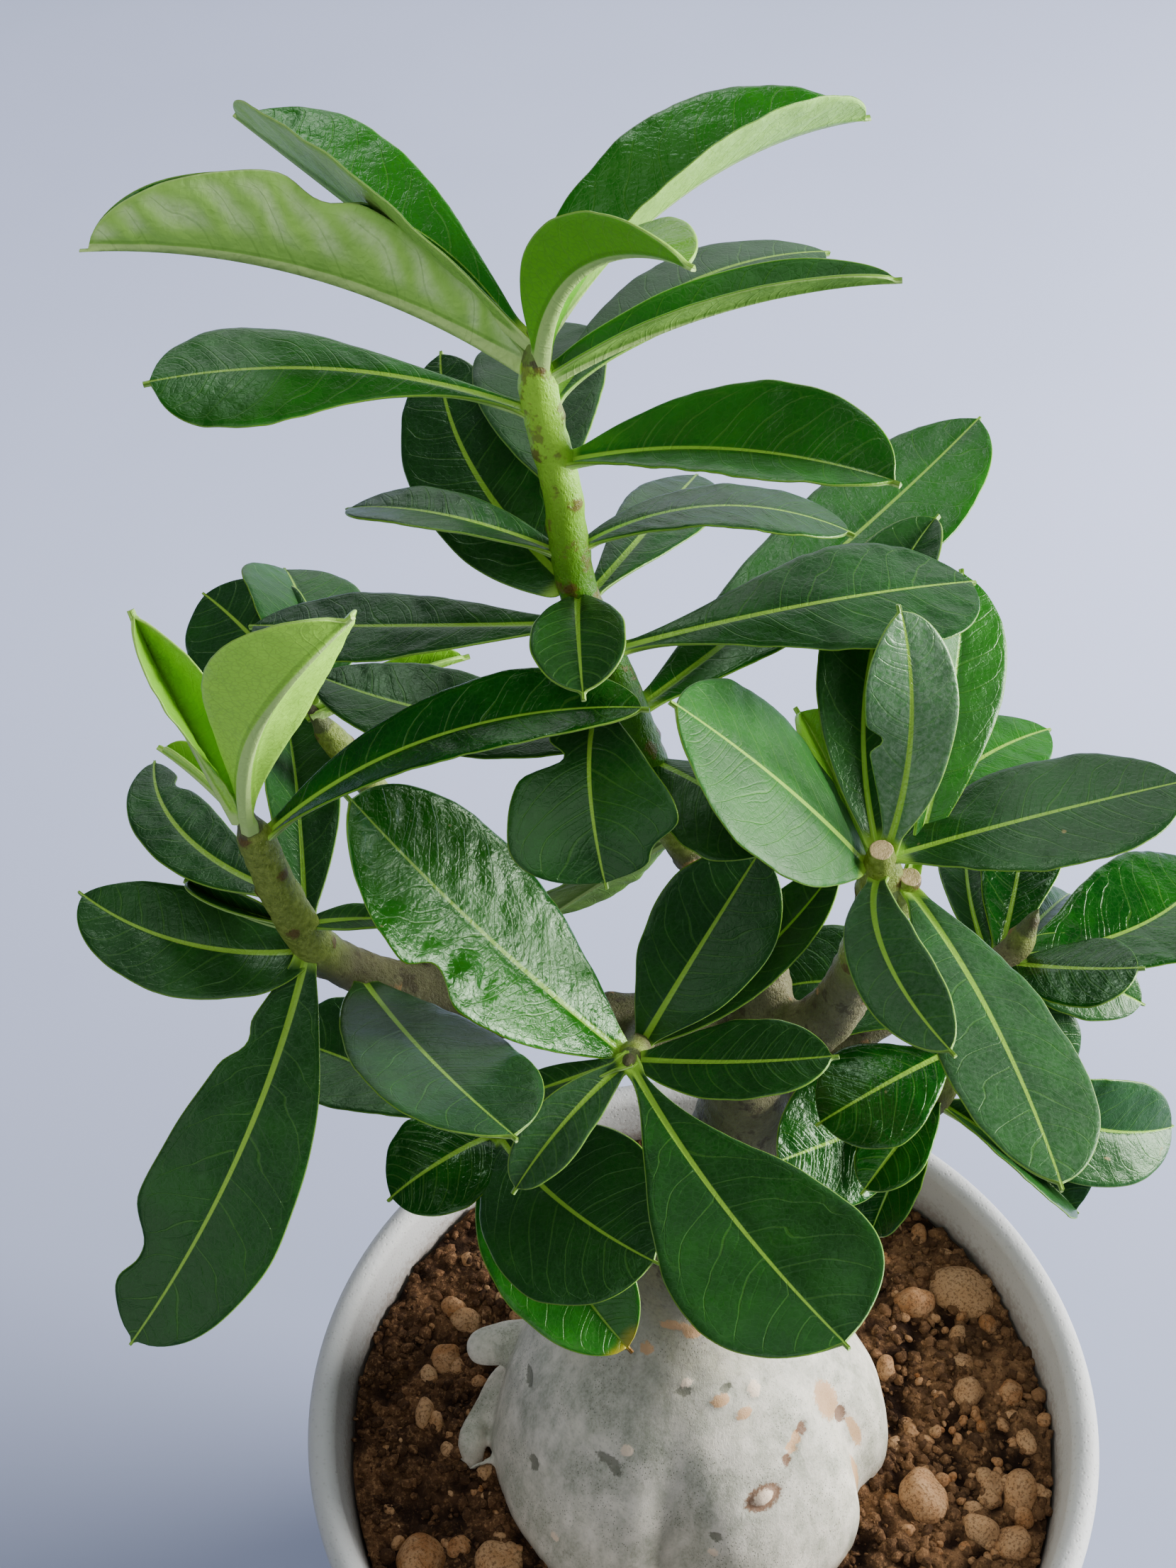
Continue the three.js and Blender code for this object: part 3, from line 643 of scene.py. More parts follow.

# %% [markdown]
# ## Soil finish
# Moist potting mix is a dark red-brown, with lighter dry fibres on the tops of the crumbs. The raised parts
# are painted lighter and the hollows between them nearly black, partly its own colour and partly painted
# shade, and painted light makes the raised parts lighter towards the right, where the window lamp stands.
# Nothing on it shines, so it is rough all over.

# %% Soil material
def soil_material():
    made, tree, shader = new_material("potting_mix", {"Roughness": 0.95, "Specular IOR Level": 0.2})
    place = object_place(tree)
    patches, grain, specks = mottle(tree, place, 16.0, 1.1)
    raised = mark(tree, "raised")
    right, _, _ = tree.parts(place)
    # Painted light: raised soil is painted lighter towards the right, where the window lamp stands
    painted_light_right = tree.smooth(right + patches * 30.0, 20.0, 110.0) * raised
    earth = tree.coats(
        tree.colour(patches, (0.010, 0.004, 0.002), (0.022, 0.009, 0.004)),
        # Partly painted shade: the raised parts are painted lighter and the hollows stay nearly black
        (raised * (patches * 0.6 + 0.4), (0.15, 0.072, 0.031)),
        (tree.smooth(grain, 0.45, 0.95) * raised * 0.8, (0.33, 0.175, 0.08)),
        (painted_light_right * 0.35, (0.40, 0.22, 0.10)),
        (specks * 0.5, (0.006, 0.003, 0.002)),
    )
    tree.feed(shader.inputs["Base Color"], earth)
    bump(tree, shader, grain, 0.4)
    return made


grow_nodes(soil, SOIL_TREE, material=soil_material())
finished(soil, "soil", "soil")

# %% [markdown]
# ## Pebbles
# Worn tan and orange stones lie half sunk in the soil, from 3 to 17 mm across. The ones that the photo shows
# are placed one by one, and smaller ones are drawn with a fixed seed. Each starts as a ball that is squashed
# and turned, and a slow noise dents it, so that no two look alike.

# %% Pebble places
# Each placed stone has its place and how far across it is. The gravel's stones are smaller
STONES = [
    (66, 37, 11), (80, 40, 15), (78, 9, 9), (60, -1, 7), (92, -7, 9), (61, -20, 15), (87, -21, 12),
    (75, -32, 8), (82, -38, 12), (88, 30, 7), (70, 60, 8), (-78, 7, 12), (-73, 25, 8), (-67, 38, 10),
    (-56, 45, 8), (-57, -36, 12), (-68, -31, 7), (-79, -38, 17),
]
GRAVEL = [
    (70, 7, 4), (55, -6, 5), (67, -2, 5), (73, -5, 5), (98, -1, 4), (79, -9, 5), (94, -22, 6), (74, -27, 6),
    (63, -36, 4), (63, 63, 5), (78, 53, 5), (55, 17, 7), (88, 43, 5), (52, -23, 5), (-70, 23, 5),
    (-63, 17, 5), (-61, 38, 6), (-51, 37, 6), (-88, -20, 5), (-72, -3, 4),
]
# How many more are strewn, the smallest and largest across, and how much commoner the small ones are
SCATTERED_STONES = (48, 3.6, 9, 1.6)
FINE_GRAVEL = (250, 1.8, 4.6, 1.6)
STREWN_RING = (61, 31)
STONE_SEED = 11
BIG_STONE = 6
SUNK = 0.08


def seeded_draw(seed):
    """Draws between 0 and 1, always the same for the same seed."""
    state = seed
    while True:
        state = state * 16807 % 2147483647
        yield state / 2147483647


def pebble_rows():
    """Place, size, width, flatness, lean and turn of every pebble."""
    draw = seeded_draw(STONE_SEED)
    rows = []

    def add(x, y, across):
        wide, flat, lean, turn = (next(draw) for _ in range(4))
        shape = (0.65 + 0.3 * wide, 0.7 + 0.25 * flat, 0.6 * lean - 0.3, 2 * math.pi * turn)
        rows.append((x, y, across, *shape))

    def strew(number, low, high, power):
        for _ in range(number):
            turn = 2 * next(draw) - 1
            angle = math.pi * math.copysign(abs(turn) ** 1.3, turn)
            reach = STREWN_RING[0] + STREWN_RING[1] * next(draw)
            add(reach * math.cos(angle), reach * math.sin(angle), low + (high - low) * next(draw) ** power)

    for placed, strewn in ((STONES, SCATTERED_STONES), (GRAVEL, FINE_GRAVEL)):
        for stone in placed:
            add(*stone)
        strew(*strewn)
    return rows


def pebble_points():
    rows = pebble_rows()
    places = [(x * MM, y * MM, (soil_height(x, y) - across * SUNK) * MM) for x, y, across, *_ in rows]
    scales = [(a / 2 * MM, a / 2 * w * MM, a / 2 * f * MM) for _, _, a, w, f, _, _ in rows]
    made = mesh_object("pebbles", places)
    set_values(made, "scale", scales, "FLOAT_VECTOR")
    set_values(made, "turned", [(lean, 0, turn) for *_, lean, turn in rows], "FLOAT_VECTOR")
    set_values(made, "big", [across > BIG_STONE for _, _, across, *_ in rows])
    set_values(made, "tone", [(x * 0.37 + y * 0.71) % 1 for x, y, *_ in rows])
    return made


pebbles = pebble_points()
print(len(pebbles.data.vertices), "pebbles")

# %% Pebble tree
def pebble_tree():
    """Sets a dented ball on every point, a finer one on the big stones."""
    tree, entry, leave = geometry_tree(
        "pebbles", {"Dent size": 1.9, "Dent depth": 1.5, "Material": "Material"})
    big = tree.named("big")
    scale, turned = tree.named_vector("scale"), tree.named_vector("turned")

    def placed(chosen, rounds):
        ball = tree.field("GeometryNodeMeshIcoSphere", {"Radius": 1.0, "Subdivisions": rounds})
        return tree.field("GeometryNodeInstanceOnPoints", {
            "Points": entry["Geometry"], "Selection": chosen, "Instance": ball,
            "Rotation": turned, "Scale": scale})

    stones = tree.together(placed(big, 4), placed(1.0 - big, 3))
    size = tree.field("ShaderNodeVectorMath", {0: scale}, 1, operation="LENGTH")
    place = tree.field("GeometryNodeInputPosition")
    dents = tree.noise(place, 1.0 / (size * entry["Dent size"]), 2.0, 0.45) - 0.5
    shift = tree.field("GeometryNodeInputNormal") * (dents * entry["Dent depth"] * size)
    moved = tree.move(tree.make_real(stones), Offset=shift)
    tree.feed(leave.inputs["Geometry"], tree.dress(moved, entry["Material"]))
    return tree.tree


PEBBLE_TREE = pebble_tree()
print("pebble tree with", len(PEBBLE_TREE.nodes), "nodes")

# %% Pebble material
def pebble_material():
    """Tan to orange stone, with soil dirt in its dents."""
    made, tree, shader = new_material("tan_pebble", {"Specular IOR Level": 0.3})
    place = object_place(tree)
    patches, grain, specks = mottle(tree, place, 5.0, 0.8)
    stone = tree.coats(
        tree.colour(mark(tree, "tone"), (0.42, 0.24, 0.11), (0.27, 0.10, 0.02)),
        (patches * 0.5, (0.50, 0.32, 0.17)),
        (tree.smooth(grain, 0.45, 0.85) * 0.65, (0.075, 0.028, 0.010)),
        (specks * 0.3, (0.46, 0.34, 0.21)),
    )
    tree.feed(shader.inputs["Base Color"], stone)
    tree.feed(shader.inputs["Roughness"], tree.blend(grain, 0.6, 0.85))
    bump(tree, shader, grain + patches, 0.15)
    return made


grow_nodes(pebbles, PEBBLE_TREE, material=pebble_material())
finished(pebbles, "soil", "soil")

# %% [markdown]
# ## Curves for stems and roots
# Stems, roots and the trunk all follow smooth curves through a few points, as a Catmull-Rom spline does:
# each stretch leaves a point in the direction of its two neighbours. The curve is sampled finely once, and
# then read by distance along it, so that rings and leaves are evenly spaced whatever the points are.

# %% Smooth curves
STRETCH_SAMPLES = 40
FIRST_SIDE = (0, 1, 0.2)


class SmoothCurve:
    """A curve through points, read by its share of length from 0 to 1."""

    def __init__(self, points):
        p = np.array(points, float)
        p = np.vstack([2 * p[0] - p[1], p, 2 * p[-1] - p[-2]])
        samples = []
        for k in range(1, len(p) - 2):
            before, start, stop, after = p[k - 1:k + 3]
            leave, arrive = (stop - before) / 2, (after - start) / 2
            t = np.linspace(0, 1, STRETCH_SAMPLES, endpoint=k == len(p) - 3)[:, None]
            samples.append((2 * t**3 - 3 * t**2 + 1) * start + (t**3 - 2 * t**2 + t) * leave
                           + (3 * t**2 - 2 * t**3) * stop + (t**3 - t**2) * arrive)
        self.samples = np.vstack(samples)
        steps = np.linalg.norm(np.diff(self.samples, axis=0), axis=1)
        self.reached = np.concatenate([[0], np.cumsum(steps)])
        self.length = self.reached[-1]

    def at(self, share):
        where = np.asarray(share) * self.length
        return np.stack([np.interp(where, self.reached, self.samples[:, k]) for k in range(3)], -1)

    def frames(self, shares):
        """Point, direction and two crosswise directions at each share, turning as little as they can."""
        points = self.at(shares)
        ahead = np.gradient(self.at(np.clip(shares, 0, 1)), axis=0)
        ahead /= np.linalg.norm(ahead, axis=1)[:, None]
        side = np.cross(ahead[0], FIRST_SIDE)
        sides = []
        for direction in ahead:
            side = side - direction * (side @ direction)
            side /= np.linalg.norm(side)
            sides.append(side)
        sides = np.array(sides)
        return points, ahead, sides, np.cross(ahead, sides)


# A limb's rings lie this far apart. Each ring of its rounded end has its radius and how far on it lies, both
# as shares of the limb's radius
LIMB_STEP = 1.5
LIMB_END = ((0.87, 0.5), (0.6, 0.8), (0.25, 0.97))


def tube(curve, radius_at, sides, stop=1.0):
    """A closed round limb along a curve, in millimetres, with a rounded end."""
    shares = np.linspace(0, stop, max(3, round(curve.length * stop / LIMB_STEP)))
    points, ahead, across, above = curve.frames(shares)
    radii = np.array([radius_at(share) for share in shares])
    end, radius = points[-1], radii[-1]
    for grow, shift in LIMB_END:
        points = np.vstack([points, end + ahead[-1] * radius * shift])
        radii = np.append(radii, radius * grow)
        across = np.vstack([across, across[-1]])
        above = np.vstack([above, above[-1]])
    turns = round_turns(sides)[:, None]
    rounds = np.cos(turns) * across[:, None] + np.sin(turns) * above[:, None]
    return closed_loft(points[:, None] + radii[:, None, None] * rounds)


print("curve helpers ready")

# %% [markdown]
# ## The shoots' routes and leaves
# This plant is one grown thing, so its parts aren't placed by eye one after another: a table says where each
# stem runs and how each leaf leaves it, and the same rule then draws all of them. A row gives how far below
# the stem's tip the leaf sits, the compass turn and rise of its stalk, its length and width, the fold
# between its halves, how its rise and turn change along it (bend and sweep), its roll about its own rib, how
# far along it is widest, and its look. Millimetres and degrees.

# %% Leaf table
# A look is how young, how glossy and how dusty a leaf is, each from 0 to 1, and if its tip has yellowed.
# The third number's pale coat is real dirt on the dusty leaves and a painted sheen on the sheen leaf; over 1
# it paints a strong pale sheen, and below 0 it paints the glow of light coming through a young leaf. Gloss
# over 1 is for a puffed leaf, whose under side gets painted highlights on its crests. After the look, a row
# may have nibbles, each a half (1 left, -1 right), a place along it, a depth and a reach, and a blister:
# along, aside and radius
DARK = (0.08, 0.45, 0.25, 0)
GREEN = (0.3, 0.5, 0.1, 0)
FRESH = (0.5, 0.6, 0.0, 0)
PUFFED = (0.42, 1.9, 0.0, 0)
LIME = (1.0, 0.5, 0.0, 0)
GLOSSY = (0.12, 0.85, 0.0, 0)
SHEEN = (0.25, 0.05, 0.5, 0)
BRIGHT = (0.35, 0.85, 0.0, 0)
PALE_SHEEN = (0.35, 0.7, 3.0, 0)
DUSTY = (0.12, 0.1, 0.9, 0)
YELLOWED = (0.3, 0.5, 0.1, 1)
SHADED = (1.0, 0.6, -0.8, 0)

TOP_LEAVES = [
    (0, 154, 34, 69, 30, 33, -30, -24, 29, 0.65, FRESH),
    (7, 164, 33, 81, 30, 84, -35, 15, 20, 0.58, PUFFED, (1, 0.52, 0.16, 0.05), (-1, 0.52, 0.2, 0.06)),
    (14, 170, 20, 69, 30, -5, -25, 20, 0, 0.8, GREEN),
    (1, 40, 40, 76, 32, 35, -50, -15, -20, 0.55, FRESH),
    (3, -51, 82, 58, 20, 35, -75, 0, -25, 0.65, SHADED),
    (8, 7, 28, 64, 11, 50, -25, -10, -5, 0.55, GREEN),
    (14, 59, 13, 76, 22, -5, -30, -35, -5, 0.7, DUSTY),
    (24, -17, 24, 65, 26, 24, -20, -20, 5, 0.65, GREEN),
    (44, 165, 22, 46, 17, 8, -49, -16, 15, 0.65, DARK),
    (52, 137, 18, 67, 24, 0, -15, -48, -20, 0.5, DARK),
    (32, 100, 9, 59, 26, 5, -25, -15, -10, 0.65, DUSTY),
    (43, 26, 15, 54, 23, 0, -35, -45, -20, 0.65, DARK),
    (55, 58, -1, 60, 18, -5, -25, 15, 0, 0.7, DARK),
    (60, 176, -3, 70, 22, 0, -15, -20, 5, 0.7, DARK),
    (52, -92, 34, 34, 17, 15, -50, 5, 5, 0.7, DARK),
    (67, 7, 12, 77, 32, 0, -30, 17, -2, 0.74, DARK),
    (83, 43, 0, 118, 30, 0, 2, 8, 0, 0.65, GREEN),
    (73, -112, 18, 47, 32, 15, -72, 40, 15, 0.78, DARK, (-1, 0.46, 0.55, 0.055), (1, 0.87, 0.25, 0.05),
     (-1, 0.2, -0.3, 0.12)),
    (94, -41, 10, 35, 27, -10, -22, -10, -10, 0.65, DARK),
    (87, 181, 3, 67, 24, 5, -5, -35, 5, 0.55, DARK),
    (119, 160, -52, 57, 23, 0, -5, -25, 35, 0.6, DARK),
]
LEFT_LEAVES = [
    (1, -75, 75, 84, 26, 25, -25, 65, -40, 0.75, LIME),
    (0, 166, 75, 48, 24, 65, -10, -40, -10, 0.6, LIME),
    (0, 138, 24, 21, 8, 60, -20, 5, 10, 0.65, LIME),
    (24, 150, -3, 60, 15, 0, -15, -55, 0, 0.55, DARK, (-1, 0.78, 0.3, 0.05)),
    (7, 8, 45, 84, 20, 14, -44, -16, -2, 0.66, GLOSSY),
    (39, 93, 13, 69, 19, 30, -20, 10, 20, 0.6, DARK),
    (46, 194, 9, 52, 24, 5, 0, -55, -10, 0.5, DARK),
    (36, 172, 13, 26, 10, 65, -20, -40, -20, 0.6, DARK),
    (36, 3, 7, 19, 6, 15, -20, 0, 0, 0.6, DARK),
    (43, -110, -41, 93, 31, 0, 0, -33, -25, 0.65, DARK, (-1, 0.8, 0.35, 0.07), (-1, 0.24, 0.25, 0.04)),
    (59, -68, 26, 74, 34, 5, -10, 15, -20, 0.65, DARK),
]
BACK_LEFT_LEAVES = [
    (0, 121, 7, 50, 27, 0, -20, 5, -20, 0.6, DARK),
    (0, 92, 22, 46, 28, 15, -40, 20, 25, 0.65, DARK),
    (0, 11, 21, 34, 9, 60, -20, 10, 5, 0.65, LIME),
    (30, -62, -2, 34, 18, 10, -15, 20, 5, 0.6, DARK),
]
FRONT_LEAVES = [
    (6, 164, 44, 84, 37, 5, 10, -5, -5, 0.6, BRIGHT, (1, 0.58, 0.28, 0.06), (42, 10.5, 4.2)),
    (14, 32, 58, 52, 25, 8, -15, 10, 38, 0.65, DARK),
    (20, 8, 35, 58, 15, 15, -9, 41, 0, 0.56, DARK),
    (4, -28, 26, 44, 19, 5, -15, 25, 0, 0.6, DARK),
    (1, -71, 9, 82, 39, 5, 0, 15, 0, 0.75, DARK),
    (1, -141, -7, 35, 12, 20, -25, 10, -20, 0.65, DUSTY),
    (0, -170, -14, 30, 8, 15, -20, -15, 5, 0.65, DARK),
]
LOW_LEFT_LEAVES = [
    (2, 148, 5, 63, 31, 15, -20, 0, -5, 0.7, DARK),
    (1, -67, 20, 56, 40, 8, -17, 34, 24, 0.62, DARK),
    (1, -138, 30, 30, 24, 0, -70, -20, -10, 0.55, GLOSSY),
    (4, -78, -5, 57, 30, 20, -17, 34, 20, 0.55, YELLOWED),
]
RIGHT_LEAVES = [
    (5, 173, 55, 57, 38, -5, -15, 0, -1, 0.55, SHEEN),
    (2, 54, 62, 49, 17, 5, -3, 64, 2, 0.65, PALE_SHEEN, (1, 0.45, 0.35, 0.04)),
    (3, 101, 33, 77, 21, 25, -23, -52, -5, 0.6, DARK),
    (3, 13, 7, 60, 33, 0, 0, -6, -12, 0.6, DARK),
    (3, 58, -4, 63, 21, 0, -18, -22, 6, 0.6, GREEN),
    (6, -108, 25, 55, 14, 10, -25, 50, 18, 0.65, DUSTY),
    (13, 110, 36, 38, 20, 39, -14, 8, 12, 0.65, LIME),
]
RIGHT_SIDE_LEAVES = [
    (2, 66, 38, 65, 21, 22, -20, 17, 42, 0.7, GREEN),
    (3, -74, 16, 79, 25, 0, -15, -10, -10, 0.65, DUSTY),
]
LOW_RIGHT_LEAVES = [
    (0, 137, 22, 44, 30, 2, -50, 42, -10, 0.7, DARK),
    (4, -145, 16, 37, 26, -5, -40, -14, 0, 0.65, GLOSSY),
    (26, -152, 12, 42, 29, 5, 0, 0, -35, 0.6, GLOSSY),
    (20, -128, 5, 31, 15, 12, -25, -5, -4, 0.65, GLOSSY),
    (24, -126, -34, 35, 18, 30, -25, 0, 5, 0.6, GLOSSY),
    (24, -22, -25, 45, 29, 45, -20, -5, 5, 0.65, DARK),
    (9, -31, -28, 65, 26, 15, 0, 65, 55, 0.65, DARK),
]
FAR_RIGHT_LEAVES = [
    (14, -33, 23, 32, 22, -5, -5, 20, -5, 0.65, GLOSSY),
    (13, -1, 5, 69, 36, 14, -25, 67, -3, 0.65, GLOSSY),
    (14, -5, -12, 37, 18, 5, -25, 0, 32, 0.52, DARK),
    (15, 69, 15, 51, 21, 20, -25, 10, -5, 0.65, GLOSSY),
    (17, 100, 4, 52, 14, 20, -20, -30, 0, 0.65, DARK),
    (13, 53, -13, 44, 14, 20, -25, 5, 0, 0.6, DARK),
    (16, -36, -40, 34, 16, 20, -20, 0, 0, 0.6, DARK),
]

print(len(TOP_LEAVES + LEFT_LEAVES + FRONT_LEAVES + RIGHT_LEAVES), "leaves on the four largest stems")

# %% Stem routes
# Each stem has its route, its radius at the root, where it turns green and at the tip, how much of it is
# green and leafy, whether it was cut, and its leaves
SHOOTS = {
    "top_shoot": [
        ([(8, 3, 345), (12, 9, 362), (6, 13, 388), (-6, 11, 413), (-13, 11, 436), (-19, 14, 457),
          (-26, 17, 479), (-28, 20, 499), (-31, 23, 515), (-32, 25, 529)],
         (8, 4.2, 3.4), 124, False, TOP_LEAVES),
    ],
    "left_shoot": [
        ([(8, 3, 345), (-7, 2, 360), (-22, 0, 366), (-35, 0, 368), (-47, 0, 372), (-59, 0, 378),
          (-69, 0, 383), (-78, 0, 389), (-84, -2, 400), (-88, -4, 418), (-90, -4, 431), (-92, -4, 442)],
         (8, 4.8, 3.6), 65, False, LEFT_LEAVES),
    ],
    "back_left_shoot": [
        ([(-59, 0, 378), (-64, 14, 384), (-66, 34, 391), (-83, 40, 425)],
         (4.4, 3.4, 3), 45, False, BACK_LEFT_LEAVES),
    ],
    "front_cluster": [
        ([(-15, 0, 364), (-17, -14, 376), (-19, -26, 387)], (4.8, 3.7, 2.9), 24, False, FRONT_LEAVES),
    ],
    "low_left_shoot": [
        ([(-1, -1, 285), (-12, -2, 298), (-23, -3, 312), (-37, -3, 322), (-50, -3, 330)],
         (6, 3.8, 3.4), 14, False, LOW_LEFT_LEAVES),
    ],
    "right_cluster": [
        ([(8, 3, 345), (17, 0, 356), (26, -2, 369), (31, -5, 392), (32, -10, 417), (31, -12, 434)],
         (8, 5.4, 4.5), 52, True, RIGHT_LEAVES),
        ([(31, -5, 394), (35, -9, 412), (37, -13, 427)], (4, 4, 3.8), 100, True, RIGHT_SIDE_LEAVES),
    ],
    "low_right_shoot": [
        ([(5, 0, 300), (24, 1, 309), (41, 3, 318), (52, 3, 326), (56, 4, 338), (56, 4, 350)],
         (6.5, 3.9, 3.4), 34, False, LOW_RIGHT_LEAVES),
    ],
    "far_right_shoot": [
        ([(6, 2, 322), (28, 9, 340), (52, 17, 349), (70, 23, 355), (75, 25, 366)],
         (5.5, 3.6, 3.2), 24, False, FAR_RIGHT_LEAVES),
    ],
}
GREEN_ABOVE = {"top_shoot": 410}


def stem_radius(curve, radius, leafy):
    """Where a stem turns green, and a function from the share of its length to its radius."""
    root, middle, tip = radius
    split = min(1, max(0, 1 - leafy / curve.length))
    radii = (root if split else middle, middle, tip)
    return split, lambda share: float(np.interp(share, (0, split, 1), radii))


print(len(SHOOTS), "shoots")

# %% [markdown]
# ## Wood: swollen base, trunk, branches and roots
# A desert rose stores water in its base, which swells between the roots into smooth lobes. In the real plant
# base, roots, trunk and branches are one skin, so they are first made as separate round limbs, and a voxel
# remesh then melts them into one body. Smoothing fills the forks as living bark does.

# %% Wood limbs
BASE_OUTLINE = [
    (18, 108), (42, 132), (54, 158), (56, 180), (50, 202), (40, 222), (27, 240), (18, 254), (12, 266),
]
# The base leans: its middle goes from the first of these to the second between two heights
BASE_CENTRE = (-3, -8)
BASE_LEAN = (185, 250)
ROOT_SIDES = 24
BRANCH_SIDES = 20
VOXEL = 1.15
SMOOTH_ROUNDS = 7
# Each fold has its compass turn, its width in degrees and its depth
FOLDS = [(-96, 9, 9), (-25, 8, 6), (30, 20, 3), (95, 16, 4), (155, 18, 3)]
FOLD_FULL = 186
FOLD_TOP = 242
TRUNK = ([(-8, 0, 250), (-5, 0, 270), (2, 0, 296), (8, 2, 326), (8, 3, 349)], (16.5, 9))
ROOTS = [
    ([(-44, 17, 194), (-52, 16, 196), (-60, 15, 196)], (7, 5)),
    ([(-48, 15, 184), (-55, 13, 182), (-62, 4, 177), (-65, -2, 176), (-65, -6, 171)], (4, 3.6)),
    ([(-50, -6, 177), (-58, -9, 177), (-65, -11, 176)], (1.2, 0.9)),
]


def ease(value, low, high):
    t = min(1, max(0, (value - low) / (high - low)))
    return t * t * (3 - 2 * t)


def fold_depth(turn, height):
    away = lambda at: (turn - at + 180) % 360 - 180
    depth = sum(deep * math.exp(-(away(at) / width) ** 2) for at, width, deep in FOLDS)
    return depth * (1 - ease(height, FOLD_FULL, FOLD_TOP))


def base_middle(height):
    """How far to the right the base's middle lies at a height."""
    return BASE_CENTRE[0] + (BASE_CENTRE[1] - BASE_CENTRE[0]) * ease(height, *BASE_LEAN)


def base_point(turn, height, radius):
    reach = radius - fold_depth(turn, height)
    angle = math.radians(turn)
    return base_middle(height) + reach * math.cos(angle), reach * math.sin(angle), height


def swollen_base(rings=60, sides=120):
    outline = SmoothCurve([(r, z, 0) for r, z in BASE_OUTLINE]).at(np.linspace(0, 1, rings))
    turns = np.arange(sides) * 360 / sides
    return closed_loft([[base_point(turn, z, radius) for turn in turns] for radius, z, _ in outline])


def straight_taper(route, radius):
    curve = SmoothCurve(route)
    return tube(curve, lambda share: radius[0] + (radius[1] - radius[0]) * share, ROOT_SIDES)


def joined(parts):
    starts = np.cumsum([0] + [len(vertices) for vertices, _ in parts])
    faces = [tuple(start + k for k in face) for start, (_, some) in zip(starts, parts) for face in some]
    return np.vstack([vertices for vertices, _ in parts]), faces


def wood_limbs():
    limbs = [swollen_base(), straight_taper(*TRUNK), *(straight_taper(*root) for root in ROOTS)]
    for stems in SHOOTS.values():
        for route, radius, leafy, _, _ in stems:
            curve = SmoothCurve(route)
            split, radius_at = stem_radius(curve, radius, leafy)
            if split > 0:
                limbs.append(tube(curve, radius_at, BRANCH_SIDES, split))
    return joined(limbs)


def melt(piece, voxel, rounds):
    """Melts overlapping closed limbs into one smooth skin."""
    remesh = piece.modifiers.new("melt", "REMESH")
    remesh.mode = "VOXEL"
    remesh.voxel_size = voxel * MM
    smooth = piece.modifiers.new("smooth", "SMOOTH")
    smooth.factor = 0.5
    smooth.iterations = rounds
    settle(piece)


limb_vertices, limb_faces = wood_limbs()
wood = mesh_object("wood", limb_vertices * MM, limb_faces)
melt(wood, VOXEL, SMOOTH_ROUNDS)
print("wood", count(wood), "triangles")

# %% [markdown]
# ## Marks on the bark
# The base is silvery and smooth, but scarred: a tan patch where the bark was rubbed off, a slash, a ringed
# scar of an old shoot, a few dark nicks and tan dots. The branches carry the scars of fallen leaves in a
# spiral. Each mark is a small dent or bump in the mesh, and stores how strongly it shows, for the finish.

# %% Bark marks
# Place on the base by compass turn and height, radius across, radius up, relief, kind
BASE_MARKS = [
    (-22.5, 217, 4.4, 7.6, 0.5, "tan"), (-21, 209, 2.0, 3.2, -0.6, "brown"),
    (-40, 222, 1.8, 2.0, -0.7, "brown"), (-44, 221.5, 1.8, 2.0, -0.9, "tan"),
    (-48, 220.5, 1.8, 2.0, -0.9, "tan"), (-52, 219, 1.6, 1.8, -0.6, "brown"),
    (-65.5, 213.5, 5.6, 4.2, -0.5, "brown"), (-65.5, 213.8, 3.2, 2.4, 1.6, "pale"),
    (-85, 245, 1.7, 1.4, 0.4, "pale"), (-87, 243, 2.2, 1.6, -0.3, "dark"), (-68, 239, 2.8, 2.0, 0.6, "tan"),
    (-63, 241, 1.8, 1.4, -0.4, "dark"), (-48.5, 237, 2.2, 2.6, 0.5, "pale"),
    (-59, 234, 2.6, 1.7, 0.5, "tan"),
    (-114, 228, 1.5, 1.8, 0.4, "pale"), (-113.5, 252, 2.0, 2.0, 0.4, "tan"),
    (-121, 224, 4.2, 1.8, -0.6, "dark"), (-117, 222, 2.2, 1.4, -0.5, "dark"),
    (-92, 260, 3.6, 2.0, 0.4, "tan"), (-74.5, 257.5, 3.2, 2.8, 0.4, "tan"),
    (-84, 205.5, 1.8, 1.8, -0.4, "dark"), (-85.5, 200, 1.8, 1.6, 0.4, "pale"),
    (-171, 219, 3.4, 2.2, -0.5, "dark"), (-150, 205, 2.2, 3.0, -0.4, "dark"),
    (-135, 190, 1.8, 1.8, 0.3, "pale"), (-20, 200, 1.6, 8.0, 0.0, "tan"),
    (-26, 185, 1.8, 10.0, 0.0, "tan"), (20, 205, 5.0, 4.0, 0.4, "tan"), (75, 196, 4.0, 6.0, 0.5, "tan"),
    (140, 210, 3.0, 3.0, 0.4, "tan"), (110, 222, 2.0, 2.0, 0.4, "pale"), (50, 225, 1.8, 1.8, 0.4, "tan"),
    (100, 190, 2.4, 5.0, -0.5, "dark"), (35, 190, 2.0, 2.4, -0.5, "brown"),
]
MARK_CORE = 0.6
LEAF_TURN = 137.5
LEAF_SCAR_STEP = 6.0
LEAF_SCAR_RADIUS = 1.9
FIRST_SCAR = 14
SCAR_STRENGTH = 0.7
SCAR_RING = 0.5
SCAR_HOLLOW = 0.2


def base_mark_centre(turn, height):
    radii, heights = zip(*BASE_OUTLINE)
    return np.array(base_point(turn, height, float(np.interp(height, heights, radii))))


